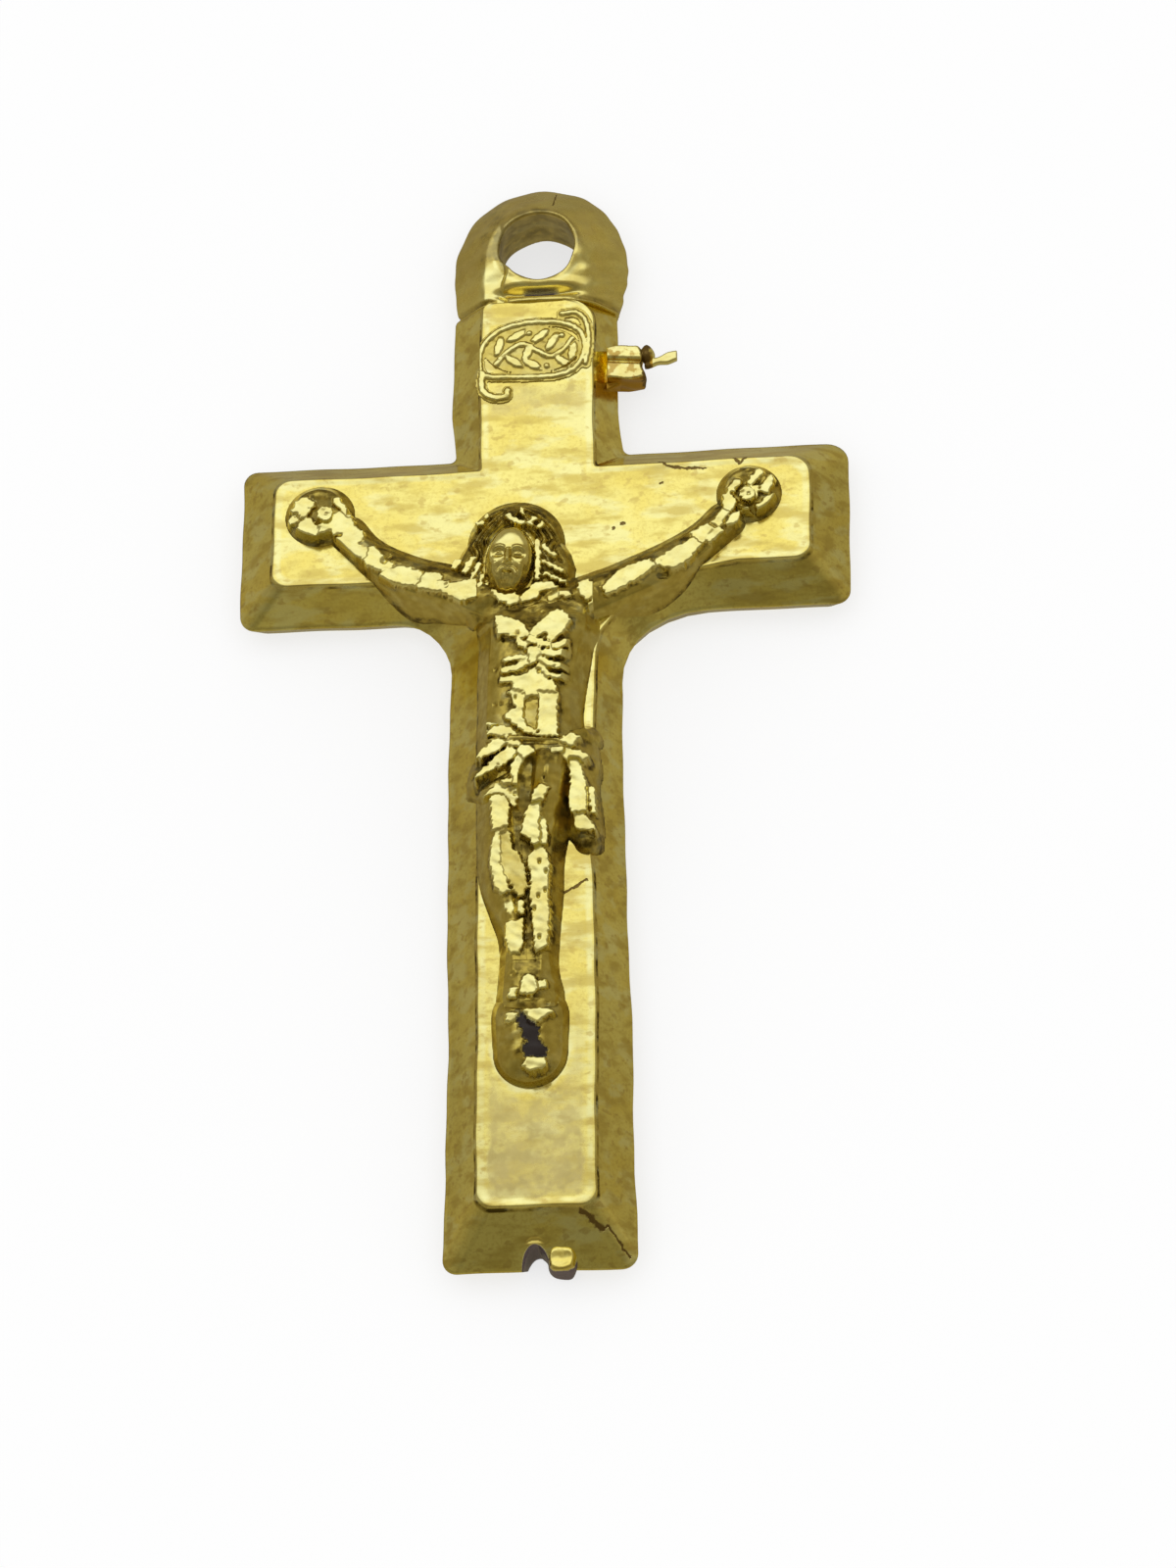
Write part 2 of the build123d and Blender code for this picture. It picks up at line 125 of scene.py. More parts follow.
def hand_finished(ring, share):
    """The slightly wavy line of a worn mould, with the nick that the gate tore out of the foot.

    The share is the one of aside. The edge of the upper stem and the face under the right arm have slipped.
    """
    x, y = ring[:, 0].copy(), ring[:, 1].copy()
    off_notch = np.clip(np.abs(x - notch_x) / notch_half_width, 0, 1)
    nick = foot_y + notch_depth * np.sqrt(1 - off_notch**2)
    at_foot = (off_notch < 1) & (y < foot_y + notch_depth)
    y[at_foot] = np.maximum(y, nick)[at_foot]
    slip = -mould_slip * np.clip((y - crossing_y - 3.0) / 2.0, 0, 1) * (1 - share)
    right_low = share * (x > 1.5) * np.clip((crossing_y - 0.4 - y) / 1.2, 0, 1)
    slip = slip - mould_slip * np.exp(-((y - crossing_y + 4.4) / 0.8) ** 2) * right_low
    y = y + mould_slip * np.clip((x - 5.9) / 1.2, 0, 1) * right_low
    wavy_x = x + aside(x, y, share) + slip + 0.02 * np.sin(0.9 * y + 0.4)
    wavy_x = wavy_x + 0.012 * np.sin(2.6 * y + 1.3) * np.sign(x)
    wavy_y = y + 0.02 * np.sin(0.7 * x + 2.2) + 0.01 * np.sin(2.1 * x)
    return np.column_stack([wavy_x, wavy_y])


def new_piece(name, vertices, faces):
    """A piece from vertices in millimetres; its object stays at the origin."""
    mesh = bpy.data.meshes.new(name)
    mesh.from_pydata((np.asarray(vertices) * MM).tolist(), [], faces)
    piece = bpy.data.objects.new(name, mesh)
    bpy.context.scene.collection.objects.link(piece)
    mesh.shade_smooth()
    return piece


def paint(piece, name, values):
    """Keeps a number at every vertex for the finish to use."""
    attribute = piece.data.attributes.new(name, "FLOAT", "POINT")
    attribute.data.foreach_set("value", np.asarray(values, dtype=np.float32))


parting = cross_ring(parting_size)
face_rim = cross_ring(face_size)
back_size = {key: value - back_draft for key, value in parting_size.items()}
back_size.update(foot=foot_y + back_draft, top=stem_top_y)
back = cross_ring(back_size)
# Rings from the back up: the back, the parting edge, the bevel with more rings where the foot is torn, the
# rounded rim and the face, which has sunk a little.
levels = [(cross_ring(back_size, 0.12), 0.0, 0), (cross_ring(back_size, 0.06), 0.0, 0), (back, 0.05, 0)]
levels += [(between(back, parting, 0.94), parting_z - 0.06, 0), (parting, parting_z - 0.02, 0)]
levels += [(parting, parting_z + 0.03, 0)]
rim_step = 0.1
low_bevel, torn_bevel = (0.05, 0.12, 0.19, 0.26, 0.33, 0.39), (0.43, 0.44, 0.46, 0.48, 0.5, 0.52, 0.54, 0.56)
high_bevel = (0.75, 0.93, 0.965)
for share in low_bevel + torn_bevel + high_bevel:
    levels.append((between(parting, face_rim, share), between(parting_z, face_z - rim_step, share), share))
rounded_rim = [(0.0, rim_step), (0.035, 0.03), (0.06, 0.004), (0.09, 0.0)]
sunk_face = [(0.16, 0.004), (0.26, 0.013), (0.36, 0.018)]
for inset, drop in rounded_rim + sunk_face:
    levels.append((cross_ring(face_size, inset), face_z - drop, 1))
count = len(parting)
rows = [np.column_stack([hand_finished(ring, share), np.full(count, z)]) for ring, z, share in levels]
# Painted shade: a broken dark line on the bevel just under the face's rim. Painted highlight: the rounded rim
# and the edge of the face.
dark_rim, bright_edge = [], []
for row, (_, z, share) in zip(rows, levels):
    ring_x, ring_y, _ = row.T
    on_lip = np.hypot((ring_x - notch_x) / (notch_half_width + lip_width),
                      (ring_y - foot_y) / (notch_depth + lip_width)) < 1
    row[on_lip, 2] = np.minimum(row[on_lip, 2], lip_z)
    broken = 0.75 + 0.25 * np.sin(3.1 * ring_x + 2.3 * ring_y) + 0.2 * np.sin(7.7 * ring_y - 5 * ring_x)
    dark_rim.append(broken * (z > 1.5) * (share > 0.96) * (face_z - z > 0.03))
    bright_edge.append(np.full(count, 1.0 if share == 1 and 0.0 < face_z - z < 0.016 else 0.0))
step = np.arange(count)
faces = []
for level in range(len(rows) - 1):
    low_row, high_row = level * count, (level + 1) * count
    after = (step + 1) % count
    faces += np.column_stack([low_row + step, low_row + after, high_row + after, high_row + step]).tolist()
faces += [list(range(count))[::-1], [(len(rows) - 1) * count + index for index in range(count)]]
cross_body = new_piece("cross_body_moulding", np.vstack(rows), faces)
paint(cross_body, "painted_shade", np.concatenate(dark_rim))
paint(cross_body, "painted_highlight", np.concatenate(bright_edge))
for cap in (-2, -1):
    cross_body.data.polygons[len(faces) + cap].use_smooth = False


class Signal:
    """A socket of a material; arithmetic on it adds Math nodes to the same tree."""

    def __init__(self, tree, socket=None):
        self.tree, self.socket = tree, socket

    def node(self, kind, sockets, output=0, **settings):
        """Adds a node: its settings first, then the values or links of its sockets."""
        node = self.tree.nodes.new("ShaderNode" + kind)
        for name, value in settings.items():
            setattr(node, name, value)
        for key, value in sockets.items():
            if isinstance(value, Signal):
                self.tree.links.new(value.socket, node.inputs[key])
            else:
                node.inputs[key].default_value = value
        return Signal(self.tree, node.outputs[output])

    def math(self, operation, *values):
        return self.node("Math", dict(enumerate(values)), operation=operation)

    def mix(self, first, second):
        """A colour between two others, with this signal as the share of the second."""
        return self.node("Mix", {0: self, 6: first, 7: second}, output=2, data_type="RGBA")

    def ramp(self, low, high):
        """0 up to low, 1 from high, smooth between them."""
        return self.node("MapRange", {0: self, 1: low, 2: high}, interpolation_type="SMOOTHSTEP")

    def __add__(self, other):
        return self.math("ADD", self, other)

    def __sub__(self, other):
        return self.math("SUBTRACT", self, other)

    def __rsub__(self, other):
        return self.math("SUBTRACT", other, self)

    def __mul__(self, other):
        return self.math("MULTIPLY", self, other)

    def __abs__(self):
        return self.math("ABSOLUTE", self)

    __radd__, __rmul__ = __add__, __mul__


def noise(place, size, seed=0.0, stretch=(1, 1, 1), detail=3.0):
    """Cloudy variation about one size in millimetres, drawn out along an axis by a stretch."""
    scale = [1 / (size * share) for share in stretch]
    spread = place.node("Mapping", {0: place, 1: (seed, 2 * seed, 3 * seed), 3: scale})
    return spread.node("TexNoise", {"Vector": spread, "Scale": 1.0, "Detail": detail})


def axes(place):
    """The x, y and z of a place as three signals."""
    return [place.node("SeparateXYZ", {0: place}, output=axis) for axis in range(3)]


def scratch(place, points, width):
    """A ragged line through places on the piece: 1 on the line and 0 off it."""
    ragged = place.node("VectorMath", {0: place.node("TexNoise", {"Vector": place, "Scale": 5.0}, output=1),
                                       1: (0.5, 0.5, 0.5)}, operation="SUBTRACT")
    shift = ragged.node("VectorMath", {0: ragged, 1: (0.25, 0.25, 0), 2: place}, operation="MULTIPLY_ADD")
    x, y, _ = axes(shift)
    nearest = None
    for (x0, y0), (x1, y1) in zip(points, points[1:]):
        run_x, run_y = x1 - x0, y1 - y0
        length = run_x**2 + run_y**2
        along = (x - x0) * (run_x / length) + (y - y0) * (run_y / length)
        along = along.node("Clamp", {0: along})
        away_x, away_y = x - x0 - along * run_x, y - y0 - along * run_y
        away = x.math("SQRT", away_x * away_x + away_y * away_y)
        nearest = away if nearest is None else nearest.math("MINIMUM", nearest, away)
    return 1 - nearest.ramp(width * 0.4, width)


def painted(signal, name):
    """The number that was painted on the vertices under a name."""
    return signal.node("Attribute", {}, output="Fac", attribute_name=name)


# Among these golds are the pale colour of painted highlights and the two browns of painted shade.
gold_bright, gold_deep, gold_highlight = (1.0, 0.89, 0.28, 1), (0.95, 0.79, 0.19, 1), (1.0, 0.94, 0.40, 1)
gold_half_shade, gold_full_shade, gold_grain = (0.57, 0.44, 0.085, 1), (0.10, 0.066, 0.008, 1), (0.66, 0.50, 0.11, 1)
gold_light, gold_streak, gold_fleck = (1.0, 0.97, 0.46, 1), (0.70, 0.55, 0.13, 1), (0.62, 0.46, 0.12, 1)
gold_dull, gold_glint, amber_stain = (0.83, 0.71, 0.29, 1), (1.0, 0.97, 0.5, 1), (0.55, 0.32, 0.04, 1)
brown_mark, bare_plastic = (0.26, 0.17, 0.05, 1), (0.075, 0.05, 0.05, 1)


def gold_plating(name, waves=3.0, dents=0.0, streaks=0.3, marks=None, bare=None, stain=None, dull=None,
                 glint=None, plastic=bare_plastic):
    """Vacuum gold over moulded plastic: nearly a mirror, clouded, a little wavy, worn off in places, with
    painted shade and painted highlights.

    waves and dents are heights in thousandths of a millimetre; marks, bare, stain, dull and glint each take
    the place on the piece in millimetres and give a share.
    """
    material = bpy.data.materials.new(name)
    material.use_nodes = True
    tree = material.node_tree
    shader = tree.nodes["Principled BSDF"]
    start = Signal(tree)
    metres = start.node("TexCoord", {}, output="Object")
    place = metres.node("VectorMath", {0: metres, 3: 1 / MM}, operation="SCALE")
    # Painted shade and painted highlights: numbers painted on the vertices turn the colour brown and dark
    # where shade is painted and pale where a highlight is painted; the painted shade also roughens the coat a
    # little and makes it a little less metallic.
    uneven = 0.72 + 0.5 * noise(place, 0.3, seed=8.3, detail=4.0).ramp(0.32, 0.68)
    painted_shade = painted(start, "painted_shade") * uneven
    painted_highlight = painted(start, "painted_highlight")
    cloud = noise(place, 1.6, seed=3.1)
    fine = noise(place, 0.16, seed=7.7, detail=2.0)
    colour = cloud.ramp(0.35, 0.7).mix(gold_bright, gold_deep)
    colour = (0.3 * noise(place, 0.11, seed=6.2, detail=1.0).ramp(0.45, 0.7)).mix(colour, gold_grain)
    colour = (painted_highlight * (0.4 + 0.6 * noise(place, 0.5, seed=4.4).ramp(0.3, 0.65))).mix(colour, gold_highlight)
    colour = painted_shade.ramp(0.0, 0.55).mix(colour, gold_half_shade)
    colour = painted_shade.ramp(0.45, 1.0).mix(colour, gold_full_shade)
    rough = 0.09 + 0.1 * noise(place, 0.7, seed=1.7).ramp(0.35, 0.75) + 0.06 * fine + 0.06 * painted_shade
    swell = noise(place, 1.5, seed=5.3, stretch=(2.4, 1, 1)) * waves
    swell = swell + noise(place, 0.3, stretch=(4, 1, 1)) * (waves * 0.12)
    streak = noise(place, 0.5, seed=9.1, stretch=(3, 1, 1), detail=5.0).ramp(0.46, 0.66) * streaks
    fleck = noise(place, 0.3, seed=9.7, stretch=(1.4, 1, 1), detail=5.0).ramp(0.57, 0.68) * streaks
    light = noise(place, 0.7, seed=9.4, stretch=(2.2, 1, 1), detail=5.0).ramp(0.5, 0.62) * streaks
    colour = (0.7 * light).mix(colour, gold_light)
    colour = streak.mix(colour, gold_streak)
    colour = (0.7 * fleck).mix(colour, gold_fleck)
    height = swell + noise(place, 0.22, seed=2.9, detail=1.0) * dents
    metal = 1 - 0.08 * painted_shade
    wear = [(dull, gold_dull, 0.3, 0.0), (glint, gold_glint, 0.0, 0.0), (stain, amber_stain, 0.2, 0.0),
            (marks, brown_mark, 0.3, 14.0), (bare, plastic, 0.25, 10.0)]
    for share_at, shown, rougher, deeper in wear:
        if not share_at:
            continue
        share = share_at(place)
        colour = share.mix(colour, shown)
        rough = rough + rougher * share
        height = height - share * deeper
        if shown is plastic:
            metal = metal * (1 - share)
    bump = height.node("Bump", {"Height": height, "Distance": MM / 1000, "Strength": 1.0})
    for key, value in (("Base Color", colour), ("Roughness", rough), ("Metallic", metal), ("Normal", bump)):
        tree.links.new(value.socket, shader.inputs[key])
    return material


def mount(piece, node, material):
    """Gives a piece its finish and its place in the frame."""
    piece.data.materials.append(material)
    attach(piece, "root")
    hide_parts(node)


def from_crossing(points):
    """Places that are measured from the crossing of the arms and the stem."""
    return [(x, y + crossing_y) for x, y in points]


def cross_marks(place):
    """Tears along the top of an arm, a crack beside the shins, one at the foot, and small scratches."""
    lines = [
        ([(4.4, 2.3), (4.75, 2.0), (5.2, 1.86), (6.05, 1.84)], 0.055),
        ([(7.05, 2.24), (7.3, 1.95), (7.55, 2.2)], 0.06),
        ([(0.95, -14.64), (1.29, -14.47), (1.75, -14.18)], 0.07),
        ([(1.5, -26.33), (1.84, -26.6), (2.2, -26.9)], 0.13),
        ([(2.2, -26.9), (2.4, -26.8), (3.08, -27.75)], 0.06),
        ([(4.45, 1.3), (4.52, 1.36)], 0.06),
        ([(2.7, -0.4), (2.78, -0.38)], 0.06),
        ([(3.02, -0.28), (3.12, -0.24)], 0.07),
    ]
    total = None
    for points, width in lines:
        line = scratch(place, from_crossing(points), width)
        total = line if total is None else total.math("MAXIMUM", total, line)
    return total


def off_oval(across, along, half_x, half_y):
    """Square of how far out a place lies from the middle of an oval: 1 on its line."""
    across, along = across * (1 / half_x), along * (1 / half_y)
    return across * across + along * along


def notch_bare(place):
    """Bare plastic on the torn walls of the nick in the foot."""
    x, y, _ = axes(place)
    return 1 - off_oval(x - notch_x, y - foot_y, notch_half_width + 0.07, notch_depth + 0.05).ramp(0.92, 1.05)


def at_face(z):
    """1 at the height of the face and 0 on the bevels."""
    return z.ramp(face_z - 0.1, face_z - 0.03)


rest_x, rest_y = -0.2, crossing_y - 20.0


def face_dull(place):
    """A dull, blotchy coat on the lower face, inside its bright rim, and a patch of it under the scroll."""
    x, y, z = axes(place)
    ragged = noise(place, 0.5, seed=12.5) - 0.5
    inside = 1 - (abs(x) + ragged * 0.5).ramp(1.5, 1.75)
    inside = inside * (y + ragged * 0.6).ramp(foot_y + 2.1, foot_y + 2.4) * at_face(z)
    blotch = 0.5 + 0.5 * noise(place, 0.4, seed=12.0, detail=4.0).ramp(0.38, 0.64)
    low = 1 - y.ramp(crossing_y - 26.0, crossing_y - 17.0)
    off_block = off_oval(x - rest_x, y - rest_y, 1.45, 2.15).ramp(1.05, 1.3)
    top_patch = abs(y - crossing_y - 5.0).ramp(0.75, 0.45) * abs(x).ramp(1.9, 1.6)
    return (inside * low * off_block + 0.5 * top_patch * at_face(z)) * blotch


def face_glint(place):
    """A painted highlight: a bright line on the face along the lower edge of the foot rest."""
    x, y, z = axes(place)
    ragged = noise(place, 0.35, seed=15.0) - 0.5
    out = off_oval(x - rest_x, y - rest_y, 1.3, 1.85) + ragged * 0.3
    line = out.ramp(0.9, 1.0) * (1 - out.ramp(1.1, 1.4))
    return 0.7 * line * (1 - (y - rest_y).ramp(-0.555, 0.185)) * at_face(z)


cross_gold = gold_plating("gold on the cross", waves=12.0, streaks=0.8, marks=cross_marks, bare=notch_bare,
                          dull=face_dull, glint=face_glint)
mount(cross_body, "cross_body", cross_gold)

# Hanging eye
# A domed loop on the top end of the stem with the hole for a jump ring. It is moulded in one with the
# stem and plated with it; handling has left a flat beside the hole. Painted highlights lie on the flat, on
# the right side and round the lower rim of the hole, and painted shade in the hole, along its upper rim and
# in the crease.
eye_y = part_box("hanging_eye")[1].y / MM - 3.25
eye_radius, eye_hole, eye_peak = 3.2, 1.45, 2.0


def skin(name, field, low, cell):
    """Closes a mesh of four-sided faces over the places where a field of depths passes zero."""
    inside = field < 0
    corner = np.array([(i, j, k) for i in (0, 1) for j in (0, 1) for k in (0, 1)])
    size = np.array(field.shape) - 1
    filled = sum(inside[i:i + size[0], j:j + size[1], k:k + size[2]].astype(np.int8) for i, j, k in corner)
    cells = np.argwhere((filled > 0) & (filled < 8))
    depth = np.stack([field[tuple((cells + offset).T)] for offset in corner], axis=1)
    total, hits = np.zeros((len(cells), 3)), np.zeros(len(cells))
    for first in range(8):
        for second in range(first + 1, 8):
            if np.abs(corner[second] - corner[first]).sum() != 1:
                continue
            start, end = depth[:, first], depth[:, second]
            crosses = (start < 0) != (end < 0)
            share = np.where(crosses, start / np.where(crosses, start - end, 1), 0)
            point = corner[first] + share[:, None] * (corner[second] - corner[first])
            total += point * crosses[:, None]
            hits += crosses
    vertices = np.array(low) + (cells + total / hits[:, None]) * cell
    number = np.full(size, -1)
    number[tuple(cells.T)] = np.arange(len(cells))
    quads = []
    for axis in range(3):
        side, other = (axis + 1) % 3, (axis + 2) % 3
        first = np.take(inside, range(0, size[axis]), axis)
        second = np.take(inside, range(1, size[axis] + 1), axis)
        edges = np.argwhere(first != second)
        beside, above = edges[:, side], edges[:, other]
        edges = edges[(beside > 0) & (above > 0) & (beside < size[side]) & (above < size[other])]
        around = []
        for side_step, other_step in ((-1, -1), (0, -1), (0, 0), (-1, 0)):
            near = edges.copy()
            near[:, side] += side_step
            near[:, other] += other_step
            around.append(number[tuple(near.T)])
        quad = np.stack(around, axis=1)
        leaving = first[tuple(edges.T)]
        quads.append(np.where(leaving[:, None], quad, quad[:, ::-1]))
    return new_piece(name, vertices, np.vstack(quads).tolist())


def vertex_places(piece):
    """The x, y and z of all vertices in millimetres."""
    place = np.empty(len(piece.data.vertices) * 3)
    piece.data.vertices.foreach_get("co", place)
    return place.reshape(-1, 3).T / MM


def soft_max(first, second, blend):
    """The larger of two, with the corner between them rounded."""
    share = np.clip(0.5 + 0.5 * (first - second) / blend, 0, 1)
    return second + (first - second) * share + blend * share * (1 - share)


def grid(low, high, cell):
    """The x, y and z of a box of cells, as arrays that spread over each other."""
    return np.meshgrid(*[np.arange(a, b, cell) for a, b in zip(low, high)], indexing="ij", sparse=True)


def from_flat(x, y):
    """How far a place lies to the side of the ragged middle of the flat on the loop's left."""
    return np.abs(x + 1.7 + 0.07 * np.sin(5 * y))


eye_cell = 0.05
eye_low = (-3.6, stem_top_y - 0.3, -0.15)
x, y, z = grid(eye_low, (3.6, eye_y + 3.6, 2.8), eye_cell)
radius = np.hypot(x * (1 + 0.012 * np.sin(1.7 * y)), np.maximum(y - eye_y, 0))
radius = radius + 0.05 * np.clip(eye_y - 1.0 - y, 0, 1)
radius = radius + 0.16 * np.clip((eye_y - 0.4 - y) / 1.8, 0, 1) * (x > 0)
top = parting_z + eye_peak * (1 - np.minimum(radius / eye_radius, 1.2) ** 1.8)
cap = 2.3 + 0.25 * np.maximum(y - stem_top_y - 0.9, 0)
dome = soft_max((z - top) * 0.7, z - cap, 0.5)
flat_z, flat_half = 2.06, 0.4
past_flat = np.maximum(from_flat(x, y) - flat_half, 0)
dome = soft_max(dome, z - flat_z - 0.06 * (y - eye_y + 1.6) - 1.4 * past_flat, 0.08)
flank = radius - eye_radius + 0.3 * (parting_z - z)
from_hole = np.hypot(x * 0.97, y - eye_y - 0.05) * (1 + 0.02 * np.cos(3 * np.arctan2(y - eye_y, x) + 0.5))
field = soft_max(soft_max(dome, flank, 0.12), eye_hole - from_hole - 0.1 * np.clip(z - 1.2, 0, 2), 0.16)
groove = 0.5 * np.exp(-(((y - stem_top_y - 0.33) / 0.17) ** 2) - (x / 1.3) ** 4) * np.clip(z - 1.0, 0, 1)
crease_y = stem_top_y + 0.05
crease = 0.1 * np.exp(-(((y - crease_y) / 0.08) ** 2)) * np.clip(np.abs(x) - 1.2, 0, 1)
lumpy = 0.012 * np.sin(4.3 * x + 2.0 * y) + 0.01 * np.sin(6.1 * y - 3.0 * x + 1.0)
lumpy = lumpy + 0.025 * np.sin(9 * y - 4 * x + 1.0) * np.clip(x - 1.2, 0, 1) * np.clip(eye_y - y, 0, 1)
field = soft_max(field + groove + crease + lumpy, 0.05 - z, 0.12)
field = np.maximum(field, stem_top_y - 0.12 - y)
hanging_eye = skin("hanging_eye_moulding", field, eye_low, eye_cell)
x, y, z = vertex_places(hanging_eye)
# Painted shade in the hole, in the crease, along the hole's upper rim and dimly over the dome; painted
# highlights on the flat, the right side and the hole's lower rim.
from_middle = np.hypot(x, y - eye_y)
in_hole = np.clip((1.66 - from_middle) / 0.1, 0, 1)
in_crease = np.exp(-(((y - crease_y) / 0.12) ** 2)) * (np.abs(x) > 1.5)
upper_rim = np.exp(-(((from_middle - 1.52) / 0.13) ** 2)) * np.clip((y - eye_y + 0.3) / 0.3, 0, 1)
on_flat = np.clip((0.55 - from_flat(x, y)) / 0.2, 0, 1)
shoulder = on_flat * np.clip((eye_y - 0.3 - y) / 0.6, 0, 1)
right_side = np.exp(-(((x - 1.75 - 0.3 * (y - eye_y + 0.7)) / 0.16) ** 2) - ((y - eye_y + 0.6) / 0.6) ** 2)
right_heel = np.exp(-(((y - eye_y + 1.5 - 0.5 * (x - 2)) / 0.14) ** 2) - ((x - 2) / 0.5) ** 2)
rim = np.exp(-(((from_middle - 1.62) / 0.1) ** 2)) * (y < eye_y - 0.4)
eye_highlight = np.clip(shoulder + right_side + right_heel + rim, 0, 1) * (z > 1.5)
paint(hanging_eye, "painted_highlight", eye_highlight)
eye_dim_shade = (0.42 + 0.25 * on_flat) * (1 - eye_highlight) * np.clip((y - eye_y + 1.7) / 1.2, 0, 1)
eye_dim_shade = eye_dim_shade * np.clip((0.9 - x) / 1.2, 0, 1)
eye_shade = 0.5 * in_hole * (z < 2.2) + 0.7 * in_crease + 0.7 * upper_rim + eye_dim_shade
paint(hanging_eye, "painted_shade", np.clip(eye_shade, 0, 1))


def eye_marks(place):
    """A crack over the top of the loop where the two streams of plastic met."""
    return scratch(place, from_crossing([(0.62, 14.2), (0.6, 13.7), (0.55, 13.2)]), 0.04)


def eye_bare(place):
    """Bare plastic in the groove between the hole and the face."""
    x, y, _ = axes(place)
    ragged = noise(place, 0.3, seed=4.0)
    in_groove = 1 - abs(y - stem_top_y - 0.3).ramp(0.05, 0.16)
    return in_groove * (1 - abs(x - 0.3 + ragged * 0.4).ramp(0.45, 0.75))


def eye_dull(place):
    """A dull coat all over the loop, duller towards its top, but for the painted highlights."""
    _, y, _ = axes(place)
    patchy = noise(place, 0.7, seed=14.0).ramp(0.35, 0.7)
    return (0.3 + 0.3 * patchy * y.ramp(eye_y - 2.0, eye_y + 1.0)) * (1 - painted(place, "painted_highlight"))


mount(hanging_eye, "hanging_eye",
      gold_plating("gold on the eye", waves=10.0, marks=eye_marks, bare=eye_bare, dull=eye_dull))

# Torso
# Chest, ribs and belly of the figure in relief, moulded in one with the cross. The mould was cut by hand, so
# the form is raised over the face and cut into ribs and facets, which carry painted highlights.
fine_cell = 0.036
deep, far = -6.0, 1e9


def smooth_path(rows, steps=10):
    """Rows of numbers along a smooth line through the given rows."""
    rows = np.array(rows, dtype=float)
    padded = np.vstack([2 * rows[0] - rows[1], rows, 2 * rows[-1] - rows[-2]])
    out = []
    for index in range(len(rows) - 1):
        a, b, c, d = padded[index:index + 4]
        t = np.linspace(0, 1, steps, endpoint=False)[:, None]
        square, cube = 2 * a - 5 * b + 4 * c - d, 3 * b - a - 3 * c + d
        out.append(0.5 * (2 * b + (c - a) * t + square * t**2 + cube * t**3))
    return np.vstack(out + [rows[-1:]])


def bed(x, y):
    """Height of the cross over its face at a place from the crossing: 0 on the face, less on the bevels."""
    foot, foot_bevel = foot_y - crossing_y, face_size["foot"] - foot_y
    edge = parting_size["foot_half"] - 0.26 * (y - foot) / (stem_top_y - foot_y)
    face_half, face_span = face_size["foot_half"], face_size["span_half"]
    arm_bevel = parting_size["arm_half"] - face_size["arm_half"]
    x = x - aside(x, y + crossing_y, 0.5)
    stem = np.maximum((np.abs(x) - face_half) / (edge - face_half), (foot + foot_bevel - y) / foot_bevel)
    beam = np.maximum((np.abs(y) - face_size["arm_half"]) / arm_bevel,
                      (np.abs(x) - face_span) / (parting_size["span_half"] - face_span))
    return (parting_z - face_z) * np.clip(np.minimum(stem, beam), 0, 1)


def shut(field):
    """Leaves nothing of a piece in the outer cells of its grid, so that its skin closes."""
    field[[0, -1]] = field[:, [0, -1]] = field[:, :, [0, -1]] = 1.0
    return field


